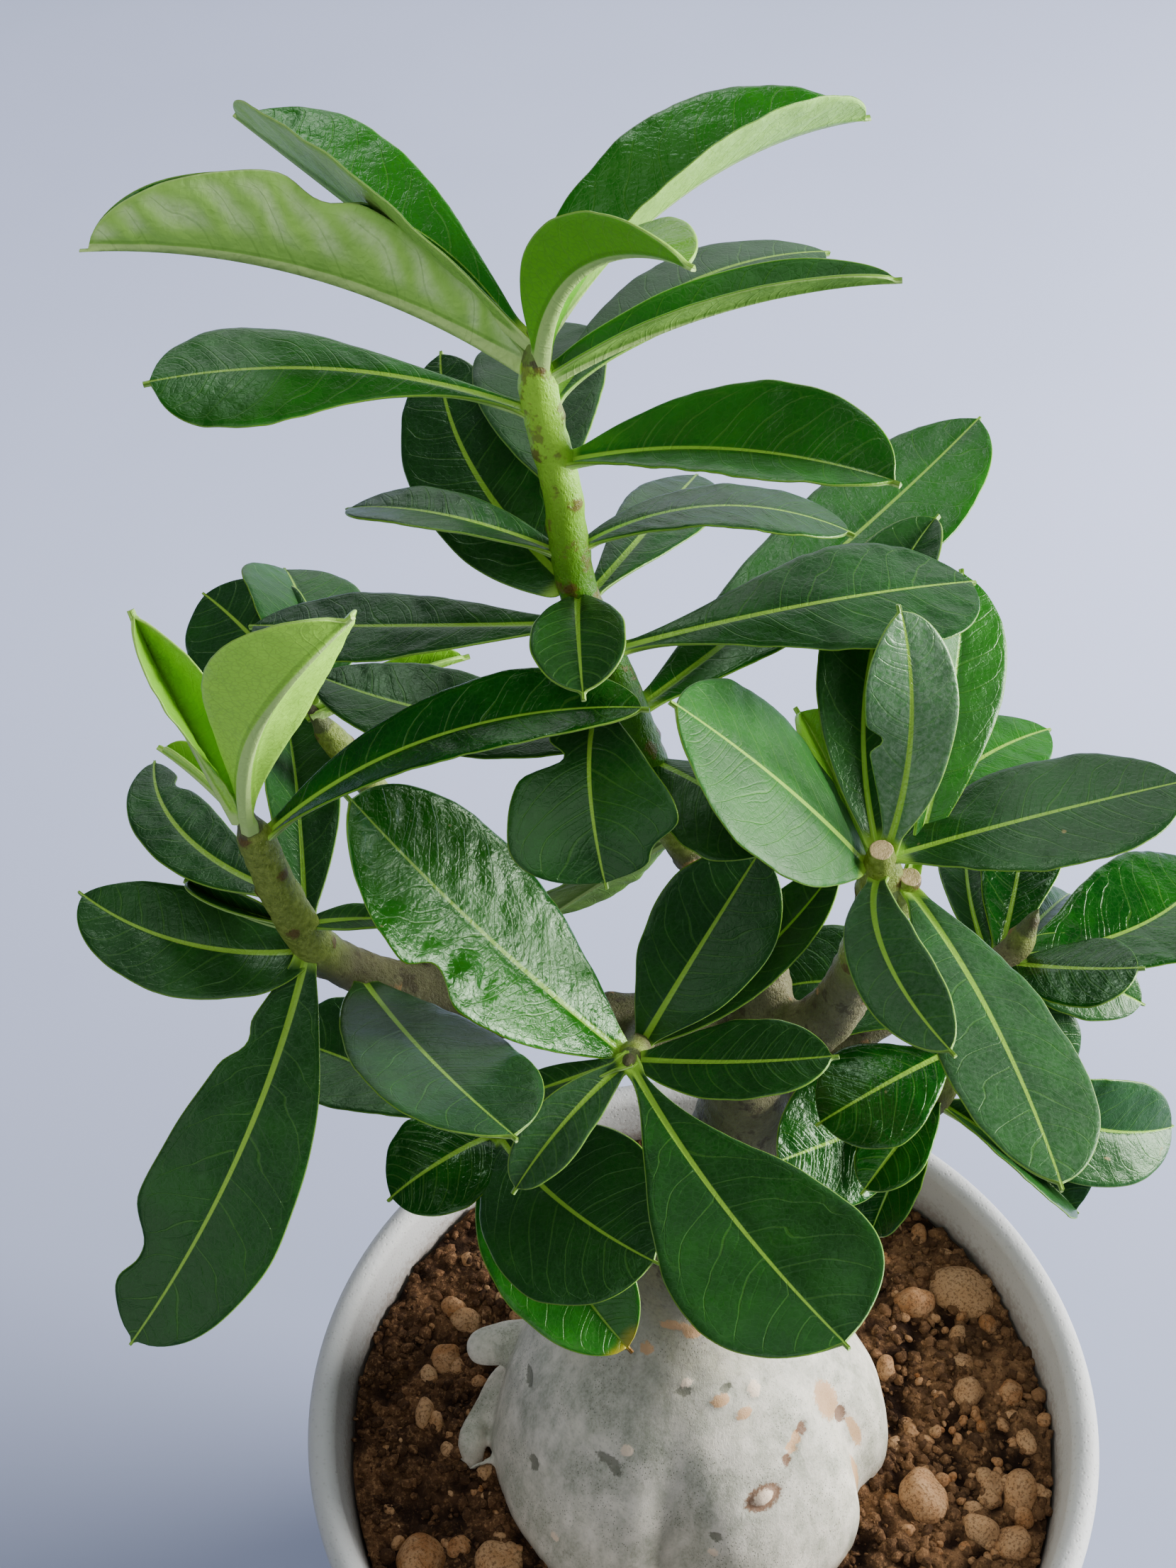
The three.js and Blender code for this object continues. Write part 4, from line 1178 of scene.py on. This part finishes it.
def leaf_scars():
    """Centres of the leaf scars that spiral up the bare branches, from another turn on each shoot."""
    centres = []
    for name, stems in SHOOTS.items():
        for route, radius, leafy, _, _ in stems:
            curve = SmoothCurve(route)
            split, radius_at = stem_radius(curve, radius, leafy)
            shares = np.arange(FIRST_SCAR, curve.length * split - 2, LEAF_SCAR_STEP) / curve.length
            if len(shares) < 2:
                continue
            points, _, across, above = curve.frames(shares)
            for k, share in enumerate(shares):
                angle = math.radians(LEAF_TURN * k + len(name) * 40)
                outward = across[k] * math.cos(angle) + above[k] * math.sin(angle)
                centres.append(points[k] + outward * radius_at(share))
    return centres


def vertex_vectors(piece, key):
    values = np.empty(len(piece.data.vertices) * 3)
    piece.data.vertices.foreach_get(key, values)
    return values.reshape(-1, 3)


def mark_wood(piece):
    places = vertex_vectors(piece, "co") / MM
    normals = vertex_vectors(piece, "normal")
    masks = {kind: np.zeros(len(places)) for kind in ("tan", "brown", "dark", "pale")}
    lift = np.zeros(len(places))
    for turn, height, wide, tall, relief, kind in BASE_MARKS:
        centre = base_mark_centre(turn, height)
        away = places - centre
        angle = math.radians(turn)
        sideways = away @ np.array((-math.sin(angle), math.cos(angle), 0))
        inward = away @ np.array((math.cos(angle), math.sin(angle), 0))
        upward = np.hypot(away[:, 2], inward) * np.sign(away[:, 2])
        distance = np.hypot(sideways / wide, upward / tall)
        strength = 1 - np.clip((distance - MARK_CORE) / MARK_CORE, 0, 1)
        masks[kind] = np.maximum(masks[kind], strength)
        lift += relief * strength
    for centre in leaf_scars():
        distance = np.linalg.norm(places - centre, axis=1) / LEAF_SCAR_RADIUS
        strength = np.clip(1 - distance, 0, 1)
        masks["tan"] = np.maximum(masks["tan"], strength * SCAR_STRENGTH)
        lift += SCAR_RING * np.sin(np.clip(distance, 0, 1) * math.pi) - SCAR_HOLLOW * strength
    moved = (places + normals * lift[:, None]) * MM
    piece.data.vertices.foreach_set("co", moved.ravel())
    for kind, mask in masks.items():
        set_values(piece, kind, mask)
    piece.data.update()


mark_wood(wood)
print(len(BASE_MARKS), "marks on the base and", len(leaf_scars()), "leaf scars")

# %% Bark relief tree
def bark_tree():
    """Pushes the bark in and out: broad uneven swellings, and fine wrinkles on the branches."""
    tree, entry, leave = geometry_tree("bark relief", {
        "Swelling": 2.8, "Swelling size": 24.0, "Wrinkle": 0.5, "Wrinkle size": 3.2, "Material": "Material"})
    place = tree.field("GeometryNodeInputPosition") * (1 / MM)
    _, _, height = tree.parts(place)
    branch = tree.smooth(height, 240.0, 300.0)
    broad = (tree.noise(place, 1.0 / entry["Swelling size"], 2.0, 0.4) - 0.5) * entry["Swelling"]
    squeezed = tree.sum("MULTIPLY", place, (0.5, 0.5, 1.6))
    fine = (tree.noise(squeezed, 1.0 / entry["Wrinkle size"], 3.0, 0.55) - 0.5) * entry["Wrinkle"]
    lift = (broad * (1.0 - branch * 0.6) + fine * (branch * 1.6 + 0.25)) * MM
    moved = tree.move(entry["Geometry"], Offset=tree.field("GeometryNodeInputNormal") * lift)
    tree.feed(leave.inputs["Geometry"], tree.dress(tree.make_real(moved), entry["Material"]))
    return tree.tree


BARK_TREE = bark_tree()
print("bark tree with", len(BARK_TREE.nodes), "nodes")

# %% [markdown]
# ## Bark finish
# The base is silvery grey-green with soft clouds, the branches a browner grey, and the young stems green,
# all in one unbroken skin. One material covers them: a stored value says how green the skin is, height
# turns the silver to grey-brown, and the marks bring in tan and dark brown.

# %% Bark material
def bark_material():
    made, tree, shader = new_material("silvery_bark", {"Specular IOR Level": 0.3})
    place = object_place(tree)
    patches, grain, specks = mottle(tree, place, 16.0, 1.2)
    clouds, fibres, nicks = mottle(tree, tree.sum("MULTIPLY", place, (1.0, 1.0, 0.55)), 5.0, 0.7)
    _, _, height = tree.parts(place)
    streaks = tree.noise(tree.sum("MULTIPLY", place, (0.3, 0.3, 0.05)), 1.0, 3.0, 0.6)
    dirty = tree.smooth(tree.noise(place, 0.07, 2.0), 0.42, 0.62)
    scabs = tree.smooth(tree.noise(place, 0.22, 3.0, 0.6) + specks * 0.03, 0.56, 0.64)
    silver = tree.coats(
        tree.colour(patches, (0.27, 0.28, 0.215), (0.72, 0.675, 0.58)),
        (clouds * 0.6, (0.21, 0.235, 0.17)),
        (fibres * 0.4, (0.66, 0.63, 0.56)),
        (tree.smooth(grain, 0.5, 1.0) * 0.35, (0.17, 0.175, 0.13)),
        (tree.smooth(streaks, 0.4, 0.7) * 0.4, (0.70, 0.66, 0.58)),
        (nicks * dirty * 0.75, (0.07, 0.08, 0.05)),
    )
    brown = tree.coats(
        tree.colour(patches, (0.105, 0.108, 0.042), (0.225, 0.215, 0.105)),
        (grain * 0.55, (0.085, 0.07, 0.035)),
        (scabs * 0.7, (0.05, 0.037, 0.018)),
    )
    olive = tree.colour(grain, (0.13, 0.19, 0.018), (0.29, 0.37, 0.07))
    green = tree.coats(
        tree.colour(grain, (0.02, 0.11, 0.0), (0.045, 0.175, 0.0003)),
        (tree.smooth(height, 470.0, 525.0), (0.34, 0.68, 0.045)),
        (scabs * 0.65, (0.15, 0.10, 0.03)),
    )
    stain = 1.0 - tree.smooth(height + grain * 5.0, SOIL_TOP, SOIL_TOP + 10.0)
    grown_green = mark(tree, "green")
    greenness = grown_green + (patches - 0.5) * 0.2
    skin = tree.coats(
        silver,
        # The silver turns grey-brown up the trunk; its low start is partly painted shade of the leaves on
        # the neck
        (tree.smooth(height + patches * 12.0, 228.0, 292.0), brown),
        (stain * 0.55, (0.20, 0.125, 0.075)),
        (tree.smooth(greenness, 0.05, 0.45), olive),
        (tree.smooth(greenness, 0.62, 0.9), green),
    )
    tan = tree.colour(tree.smooth(greenness, 0.1, 0.4), (0.50, 0.28, 0.12), (0.10, 0.035, 0.012))
    kinds = {
        "tan": (0.8, tan),
        "brown": (0.85, (0.15, 0.062, 0.023)),
        # Dark marks are nicks on the base, and painted shade on a stem's uncut tip
        "dark": (0.7, (0.07, 0.075, 0.045)),
        "pale": (0.9, (0.72, 0.58, 0.44)),
    }
    uneven_edge = (grain - 0.5) * 0.5 + (fibres - 0.5) * 0.2
    for label, (strength, tint) in kinds.items():
        crisp = tree.smooth(mark(tree, label) + uneven_edge, 0.25, 0.65)
        skin = tree.colour(crisp * strength, skin, tint)
    skin = tree.colour(mark(tree, "cut"), skin, (0.62, 0.46, 0.23))
    tree.feed(shader.inputs["Base Color"], skin)
    tree.feed(shader.inputs["Roughness"], tree.blend(grown_green, 0.58, 0.38))
    rough = tree.smooth(height, 250.0, 300.0) * (1.0 - grown_green * 0.7) * 2.6 + 0.6
    bump(tree, shader, (fibres * 0.6 + grain * 0.4 + nicks * -0.4) * rough, 0.13)
    return made


BARK = bark_material()
grow_nodes(wood, BARK_TREE, material=BARK)
finished(wood, "bark", "trunk")

# %% [markdown]
# ## Leaves
# A desert rose leaf is thick and leathery: a stout pale midrib on a short stalk, a blade that widens towards
# the tip, and side veins that leave the rib at about sixty degrees and loop together before the margin. The
# blade is a little puffed between its veins. A leaf follows a path, its rib, so each is a line of points
# along the rib that carries the two crosswise directions and the half widths, and one Geometry Nodes tree
# sweeps a closed ring of points along all of them. Bending a flat leaf cut-out would stretch its veins.

# %% Leaf ribs
# A leaf is rooted inside its stem. Its rows crowd near both ends, and its stalk flares at the stem
ROOT_DEPTH = 1.5
ROOT_LENGTH = 2.0
RIB_ROWS = 72
ROWS_REACH = 0.97
ROWS_CROWDED = 0.45
STALK_HALF = 1.2
FLARE = 0.9
FLARE_SHARE = 0.035
TIP_HALF = 0.3
TIP_ROUNDING = 0.6
TIP_POINT = 1.6
UNEVEN = 0.05
BITE_POWER = 2.5
NO_BLISTER = (-100, 0, 1)

# A stem narrows over so many millimetres to a share of its radius, and ends in rings: how far on, how wide
STEM_STEP = 1.5
STEM_OVERLAP = 2.5
CUT_TAPER = (9, 0.52)
CUT_RINGS = ((0.05, 0.97), (0.1, 0.9))
TIP_TAPER = (7, 0.42)
TIP_RINGS = ((0.55, 0.85), (1.0, 0.62), (1.6, 0.35), (2.2, 0.08))
# Painted shade: the last rings of an uncut stem tip are painted dark, as the middle of a leaf rosette is in
# shade
DARK_RINGS = 7
TIP_DARKNESS = 0.9
GREEN_FROM = 4
GREEN_FADE = 16
SIDE_GREEN = 0.55
STEM_SHARE = 0.5
STEM_LONG = 50
STEM_SEED = 3


def heading(turn, rise):
    turn, rise = np.radians(turn), np.radians(rise)
    return np.stack([np.cos(rise) * np.cos(turn), np.cos(rise) * np.sin(turn), np.sin(rise) + 0 * turn], -1)


def turned_about(vectors, axes, degrees):
    """Each vector turned about its own axis."""
    c, s = math.cos(math.radians(degrees)), math.sin(math.radians(degrees))
    return vectors * c + np.cross(axes, vectors) * s


def half_width(s, long, wide, peak):
    """Half the width of a blade that ends in a small narrow point."""
    opening = TIP_ROUNDING * peak / (1 - peak)
    outline = lambda share: share**opening * (1 - share) ** TIP_ROUNDING
    blade = np.minimum(1, s * long / (long - TIP_POINT))
    flare = FLARE * np.exp(-((s / FLARE_SHARE) ** 2))
    return STALK_HALF + (TIP_HALF - STALK_HALF) * s + wide / 2 * outline(blade) / outline(peak) + flare


def uneven(s, random):
    """A slowly changing factor along a margin, so that no two halves are the same."""
    wave = lambda k: random.uniform(-1, 1) * np.sin(2 * math.pi * (k * s + random.uniform())) / k
    return 1 + UNEVEN * np.sum([wave(k) for k in (1, 2, 3, 5)], axis=0)


def leaf_rib(stem_point, stem_radius_here, row, random):
    """The rows of one leaf, as a dictionary of arrays."""
    _, turn, rise, long, wide, fold, bend, sweep, roll, peak, look, *extras = row
    nibbles = [extra for extra in extras if len(extra) == 4]
    blister = next((extra for extra in extras if len(extra) == 3), NO_BLISTER)
    even = np.linspace(0, 1, RIB_ROWS)
    crowded = (1 - np.cos(even * math.pi * ROWS_REACH)) / (1 - math.cos(math.pi * ROWS_REACH))
    s = ROWS_CROWDED * crowded + (1 - ROWS_CROWDED) * even
    middle = (s[1:] + s[:-1]) / 2
    steps = heading(turn + sweep * middle, rise + bend * middle) * (np.diff(s) * long)[:, None]
    start = stem_point + heading(turn, 0) * (stem_radius_here - ROOT_DEPTH)
    root = start - heading(turn, rise) * ROOT_LENGTH
    rib = np.vstack([root, start, start + np.cumsum(steps, 0)])
    s = np.concatenate([[0], s])
    along = heading(turn + sweep * s, rise + bend * s)
    across = turned_about(heading(turn + 90 + sweep * s, 0 * s), along, roll)
    above = turned_about(heading(turn + sweep * s, rise + 90 + bend * s), along, roll)
    inner = np.clip(s, 0, 1)
    right, left = (half_width(inner, long, wide, peak) * uneven(s, random) for _ in range(2))
    for side, place, depth, reach in nibbles:
        bite = 1 - depth * np.exp(-(np.abs((s - place) / reach) ** BITE_POWER))
        left, right = (left * bite, right) if side > 0 else (left, right * bite)
    ones = np.ones(len(s))
    return {
        "rib": rib, "across": across, "above": above, "halves": np.stack([right, left, 0 * s], -1),
        "along": np.stack([s, s * long, ones * long], -1), "fold": ones * math.radians(fold),
        "look": np.outer(ones, look[:3]), "yellowed": ones * look[3], "blister": np.outer(ones, blister),
        "seed": ones * random.uniform(0, 100), "stem": 0 * ones, "green": ones,
        "cut": 0 * ones, "dark": 0 * ones,
    }


def stem_rows(name, curve, radius_at, split, cut):
    """The rows of a stem's green part, in the same form as a leaf's."""
    start = max(0, split - STEM_OVERLAP / curve.length)
    shares = np.linspace(start, 1, max(4, round(curve.length * (1 - start) / STEM_STEP)))
    points, ahead, across, above = curve.frames(shares)
    radii = np.array([radius_at(share) for share in shares])
    (reach, least), rings = (CUT_TAPER, CUT_RINGS) if cut else (TIP_TAPER, TIP_RINGS)
    radii *= np.interp((1 - shares) * curve.length, (0, reach), (least, 1))
    tip = radii[-1]
    unit = 1 if cut else tip
    points = np.vstack([points, *(points[-1] + ahead[-1] * unit * shift for shift, _ in rings)])
    radii = np.append(radii, [tip * grow for _, grow in rings])
    cuts, tip_shade = np.zeros(len(radii)), np.zeros(len(radii))
    if cut:
        cuts[-len(rings):] = 1
    else:
        tip_shade[-DARK_RINGS:] = TIP_DARKNESS
    extra = len(radii) - len(shares)
    across = np.vstack([across, *[across[-1]] * extra])
    above = np.vstack([above, *[above[-1]] * extra])
    ones = np.ones(len(radii))
    height = points[:, 2]
    low = GREEN_ABOVE.get(name, height[0] + GREEN_FROM)
    green = np.clip((height - low) / GREEN_FADE, 0, 1) * (1 if name in GREEN_ABOVE else SIDE_GREEN)
    return {
        "rib": points, "across": across, "above": above, "halves": np.stack([radii, radii, 0 * radii], -1),
        "along": np.stack([ones * STEM_SHARE, height, ones * STEM_LONG], -1), "fold": 0 * ones,
        "look": np.outer(ones, GREEN[:3]), "yellowed": 0 * ones, "blister": np.outer(ones, NO_BLISTER),
        "seed": ones * STEM_SEED, "stem": ones, "green": green, "cut": cuts, "dark": tip_shade,
    }


def shoot_lines(name, stems, random):
    """One object with a line of points for every leaf and stem of a shoot."""
    lines = []
    for route, radius, leafy, cut, leaves in stems:
        curve = SmoothCurve(route)
        split, radius_at = stem_radius(curve, radius, leafy)
        lines.append(stem_rows(name, curve, radius_at, split, cut))
        lines += [leaf_rib(curve.at(1 - row[0] / curve.length), radius[2], row, random) for row in leaves]
    starts = np.cumsum([0] + [len(line["seed"]) for line in lines])
    edges = [(k, k + 1) for a, b in zip(starts, starts[1:]) for k in range(a, b - 1)]
    whole = {label: np.concatenate([line[label] for line in lines]) for label in lines[0]}
    made = mesh_object(name + "_leaves", whole["rib"] * MM, edges=edges)
    for label, values in whole.items():
        set_values(made, label, values, "FLOAT_VECTOR" if values.ndim == 2 else "FLOAT")
    return made


LEAF_SEED = 5
leaf_random = np.random.RandomState(LEAF_SEED)
shoots = {name: shoot_lines(name, stems, leaf_random) for name, stems in SHOOTS.items()}
print("rib points:", {name: len(lines.data.vertices) for name, lines in shoots.items()})

# %% [markdown]
# ## The tree that sweeps the blades
# Every ring of the sweep has the same points: half of them make the upper face and half the lower one, and
# they lie closer together at the margins and at the rib, where the leaf curves most. The sweep only gives
# the faces: each point is then put in its place by the rib's own directions, with the blade's thickness, the
# rib's bulge below, its groove above, the puffs between the veins and a slow wave along the margin.

# %% Blade tree
RIB_CROWDING = 1.4
RELIEF_SCALE = 0.11
SCAR_TURN = math.radians(LEAF_TURN)
SCAR_WIDE = 1.9
SCAR_TALL = 1.3
SCAR_RELIEF = 0.55
STEM_LUMPS = 0.26


def blade_tree():
    tree, entry, leave = geometry_tree("leaf blades and stems", {
        "Ring points": 36, "Blade thickness": 0.75, "Rib bulge": 0.9, "Rib groove": 0.3, "Puff height": 0.2,
        "Belly": 0.6, "Margin wave": 1.4, "Veins on a leaf": 10.0, "Scar step": 5.5,
        "Leaf material": "Material", "Stem material": "Material"})
    ring = {"Resolution": entry["Ring points"], "Radius": 1.0}
    circle = tree.field("GeometryNodeCurvePrimitiveCircle", ring)
    circle = tree.store(circle, "ring", tree.field("GeometryNodeInputPosition"), "FLOAT_VECTOR")
    rails = tree.field("GeometryNodeMeshToCurve", {"Mesh": entry["Geometry"]})
    sweep = {"Curve": rails, "Profile Curve": circle, "Fill Caps": True}
    swept = tree.field("GeometryNodeCurveToMesh", sweep)
    ring_x, ring_y, _ = tree.parts(tree.named_vector("ring"))
    rib, across, above = (tree.named_vector(label) for label in ("rib", "across", "above"))
    right, left, _ = tree.parts(tree.named_vector("halves"))
    share, distance, long = tree.parts(tree.named_vector("along"))
    _, gloss, _ = tree.parts(tree.named_vector("look"))
    fold, seed, stem = (tree.named(label) for label in ("fold", "seed", "stem"))

    # Where on the blade a point lies: its half, how far towards the margin, and its place among the veins
    hand = tree.sum("SIGN", ring_x)
    wing = tree.sum("POWER", tree.sum("ABSOLUTE", ring_x), RIB_CROWDING)
    half = tree.blend((hand + 1.0) * 0.5, right, left)
    aside = wing * half
    spacing = long / entry["Veins on a leaf"]
    spot = rib * RELIEF_SCALE + tree.triple(seed, hand * 3.0)
    wobble = (tree.noise(spot, 1.0, 1.0) - 0.5) * 1.3
    phase = (distance - aside * 0.5 - aside * wing * wing * 0.4) / spacing + wobble

    # Puffs between the veins, dents, a puffed leaf's belly, a blister in its ring, and the margin's wave
    inside = tree.smooth(wing, 0.06, 0.35) * (1.0 - tree.smooth(wing, 0.75, 1.0))
    inside = inside * tree.smooth(share, 0.08, 0.25)
    unlike = tree.smooth(tree.noise(spot + (2.0, 9.0, 4.0), 2.2, 1.0), 0.35, 0.65)
    puff = tree.sum("COSINE", (phase + hand * 0.25) * (2 * math.pi)) * -1.0
    relief = puff * inside * entry["Puff height"] * (gloss * 0.75 + 0.1) * (unlike * 1.2 + 0.3)
    here = rib * RELIEF_SCALE + across * (aside * hand * RELIEF_SCALE)
    dents = (tree.noise(here, 1.0, 1.0) - 0.5) * inside
    relief = relief + dents * (gloss * 0.8 + 0.4)
    puffed = tree.sum("MAXIMUM", gloss - 1.0, 0.0)
    relief = relief - puffed * wing * (1.0 - wing) * half * entry["Belly"]
    along, sideways, radius = tree.parts(tree.named_vector("blister"))
    east, north = (distance - along) / radius, (aside * hand - sideways) / radius
    off = tree.sum("SQRT", east * east + north * north)
    relief = relief + tree.bell(off, 1.6) * 1.2 - tree.bell((off - 1.15) * 4.0) * 0.5
    wave = (tree.noise(spot + (7.0, 3.0, 1.0), 1.6, 1.0) - 0.5) * wing * wing * entry["Margin wave"]
    relief = (relief + wave * tree.smooth(half, 3.0, 12.0)) * tree.smooth(half, 2.0, 8.0)

    # The two faces: the upper one is grooved over the rib and the lower one bulges under it
    off_rib = aside / tree.blend(share, 1.5, 0.45)
    slim = tree.blend(share, 1.3, 0.45)
    edge_round = tree.sum("MINIMUM", tree.sum("ABSOLUTE", ring_y) * 3.0, 1.0)
    thin = entry["Blade thickness"] * 0.5 * edge_round
    groove = entry["Rib groove"] * tree.bell(off_rib, 2.5) * slim
    bulge = entry["Rib bulge"] * tree.bell(off_rib) * slim
    face = tree.sum("SIGN", ring_y)
    upper = (face + 1.0) * 0.5
    offset = upper * (thin - groove) - (1.0 - upper) * (thin + bulge) + relief
    cosine, sine = tree.sum("COSINE", fold), tree.sum("SINE", fold)
    normal = above * cosine - across * (hand * sine)
    blade = (rib + across * (aside * hand * cosine) + above * (aside * sine) + normal * offset) * MM

    # A stem is a lumpy round rod with leaf scars in a spiral
    lumps = tree.noise(rib + tree.named_vector("ring") * 3.0, 0.35, 2.0) - 0.5
    level = distance / entry["Scar step"]
    turn = tree.sum("ARCTAN2", ring_y, ring_x) - tree.sum("FLOOR", level) * SCAR_TURN
    east = tree.sum("WRAP", turn, math.pi, -math.pi) * right / SCAR_WIDE
    north = (tree.sum("FRACT", level) - 0.5) * entry["Scar step"] / SCAR_TALL
    scar = tree.sum("EXPONENT", (east * east + north * north) * -1.0) * stem
    reach = right * (lumps * STEM_LUMPS + 1.0) + scar * SCAR_RELIEF
    round_stem = (rib + (across * ring_x + above * ring_y) * reach) * MM

    place = tree.field("ShaderNodeMix", {0: stem, 4: blade, 5: round_stem}, 1, data_type="VECTOR")
    shaped = tree.move(swept, Position=place)
    shaped = tree.store(shaped, "tan", scar)
    kept = {"veins": (phase, wing, share), "blade": (aside * hand, half), "face": (face, spacing)}
    for label, values in kept.items():
        shaped = tree.store(shaped, label, tree.triple(*values), "FLOAT_VECTOR")
    dressed = tree.dress(tree.make_real(shaped), entry["Leaf material"])
    dressed = tree.dress(dressed, entry["Stem material"], tree.sum("GREATER_THAN", stem, 0.5))
    tree.feed(leave.inputs["Geometry"], dressed)
    return tree.tree


BLADE_TREE = blade_tree()
print("blade tree with", len(BLADE_TREE.nodes), "nodes")

# %% [markdown]
# ## Leaf finish
# Old leaves are a dark bottle green with a waxy gloss, young ones lime, and all have a bright yellow-green
# midrib, thin pale side veins and a pale margin. The under side is paler and duller, and its bright greens
# are partly a painted glow of light coming through the leaf; some leaves also get a painted sheen, and the
# puffed one painted highlights on its crests. The veins are drawn from the values that the tree stored: how
# far a point is from the rib and which vein it lies next to.

# %% Leaf material
def line(tree, distance, width, soft):
    """1 on a line of that half width, fading out beside it."""
    return 1.0 - tree.smooth(distance, width, width + soft)


def leaf_material():
    made, tree, shader = new_material("glossy_leaf", {"Specular Tint": (0.66, 1.0, 0.64, 1)})
    place = object_place(tree)
    phase, edge, share = vector_mark(tree, "veins")
    aside, half, _ = vector_mark(tree, "blade")
    face, spacing, _ = vector_mark(tree, "face")
    young, gloss, dust_sheen_and_glow = vector_mark(tree, "look")
    off_rib = tree.sum("ABSOLUTE", aside)
    phase = phase + tree.sum("SIGN", aside) * 0.25 + 100.0
    upper = tree.smooth(face, -0.1, 0.1)
    puffed = tree.sum("MAXIMUM", gloss - 1.0, 0.0)

    # Side veins, a finer one between each two, the loops that join them, the rib, the margin and the stalk
    to_vein = tree.sum("ABSOLUTE", tree.sum("FRACT", phase) - 0.5) * spacing
    vein = line(tree, to_vein, tree.blend(edge, 0.12, 0.04), 0.2) * (1.0 - tree.smooth(edge, 0.8, 0.93))
    to_small = tree.sum("ABSOLUTE", tree.sum("FRACT", phase * 2.0) - 0.5) * spacing
    small = line(tree, to_small * 0.5, 0.05, 0.18) * (1.0 - tree.smooth(edge, 0.35, 0.7))
    bow = tree.sum("ABSOLUTE", tree.sum("SINE", (phase + 0.5) * math.pi))
    loop = line(tree, tree.sum("ABSOLUTE", edge - (bow * 0.09 + 0.80)) * half, 0.05, 0.2)
    loop = loop * tree.smooth(edge, 0.5, 0.7)
    # On a puffed leaf the rib's band is widened, partly its own pale rib and partly painted glow along the
    # under side
    rib_half = tree.blend(share, 0.64, 0.05) * (2.0 - upper) + puffed * 1.1
    rib = line(tree, off_rib, rib_half, 0.24)
    margin = tree.smooth(off_rib, half - 0.3, half - 0.1)
    stalk = 1.0 - tree.smooth(share, 0.01, 0.055)
    beside = line(tree, tree.sum("ABSOLUTE", off_rib - rib_half - 0.55), 0.12, 0.4)
    beside = beside * (1.0 - upper) * (1.0 - stalk)

    patches, grain, _ = mottle(tree, place, 12.0, 0.9)
    net = 1.0 - tree.smooth(tree.cells(place, 0.75, "DISTANCE_TO_EDGE"), 0.02, 0.12)
    ripple = tree.noise(place, 0.3, 2.0, 0.6)
    age = young + (patches - 0.5) * 0.16
    to_green, to_lime = tree.smooth(age, 0.0, 0.5), tree.smooth(age, 0.55, 1.0)
    top = tree.coats(
        tree.colour(to_green, (0.002, 0.040, 0.0015), (0.011, 0.130, 0.001)),
        (to_lime, (0.20, 0.50, 0.02)),
        (net * 0.08, (0.04, 0.18, 0.03)),
        # The pale coat is real dirt on the dusty leaves and a painted sheen on the sheen leaves
        (dust_sheen_and_glow * (grain * 0.2 + 0.08), (0.16, 0.24, 0.17)),
    )
    # Painted highlight: a puffed leaf's under side is paler on the crests between its veins
    crest_highlight = tree.sum("COSINE", phase * (2 * math.pi)) * -0.5 + 0.5
    crest_highlight = crest_highlight * tree.smooth(edge, 0.25, 0.5) * (1.0 - tree.smooth(edge, 0.8, 1.0)) * (grain * 0.4 + 0.6)
    # The under side's bright greens and lime are partly its own paler colour and partly a painted glow of
    # light coming through the leaf
    under = tree.coats(
        tree.colour(to_green, (0.085, 0.21, 0.035), (0.32, 0.62, 0.11)),
        (to_lime, (0.44, 0.90, 0.08)),
        # Painted glow: a young leaf seen against the light gets a bright green under side
        (dust_sheen_and_glow * -1.0, (0.065, 0.42, 0.0)),
        (crest_highlight * puffed * 0.6, (0.70, 0.86, 0.50)),
        (net * (puffed * -0.2 + 0.2), (0.10, 0.20, 0.06)),
    )
    pale = tree.colour(to_lime, (0.10, 0.27, 0.035), (0.36, 0.62, 0.10))
    bright = tree.colour(to_lime, (0.27, 0.50, 0.05), (0.42, 0.70, 0.12))
    # Partly painted glow: the rib is paler still on the under side, as light comes through it
    bright = tree.colour((1.0 - upper) * 0.75, bright, (0.58, 0.80, 0.30))
    spots = tree.smooth(tree.noise(place, 0.16, 2.0, 0.7), 0.76, 0.80) * (1.0 - to_lime)
    yellow = mark(tree, "yellowed") * tree.smooth(share + patches * 0.04, 0.93, 1.0)
    blade = tree.coats(
        tree.colour(upper, under, top),
        ((vein * 0.22 + small * 0.04 + loop * 0.06) * (1.0 - to_lime * 0.45), pale),
        (margin * 0.55, bright),
        (tree.sum("MAXIMUM", rib * 0.9, stalk), bright),
        (beside * 0.35, (0.07, 0.22, 0.01)),
        (spots * 0.7, (0.33, 0.25, 0.11)),
        (yellow, (0.36, 0.26, 0.01)),
        (yellow * tree.smooth(share, 0.965, 0.985), (0.16, 0.07, 0.01)),
    )
    tree.feed(shader.inputs["Base Color"], blade)
    dull = tree.blend(gloss, 0.42, 0.13) + grain * 0.08 + (1.0 - upper) * 0.16 + spots * 0.2
    tree.feed(shader.inputs["Roughness"], dull)
    tree.feed(shader.inputs["Specular IOR Level"], tree.blend(upper, 0.2, gloss * 0.3 + 0.22))
    veins = vein * -0.4 + small * -0.25 + loop * -0.2 + net * -0.12
    height = veins + patches * 0.5 + grain * 0.2 + ripple * (gloss * 2.6 + 0.4)
    bump(tree, shader, height * (upper * 2.0 - 1.0), 0.13)
    return made


LEAF = leaf_material()
for name, lines in shoots.items():
    grow_nodes(lines, BLADE_TREE, leaf_material=LEAF, stem_material=BARK)
    finished(lines, "leaf", name)
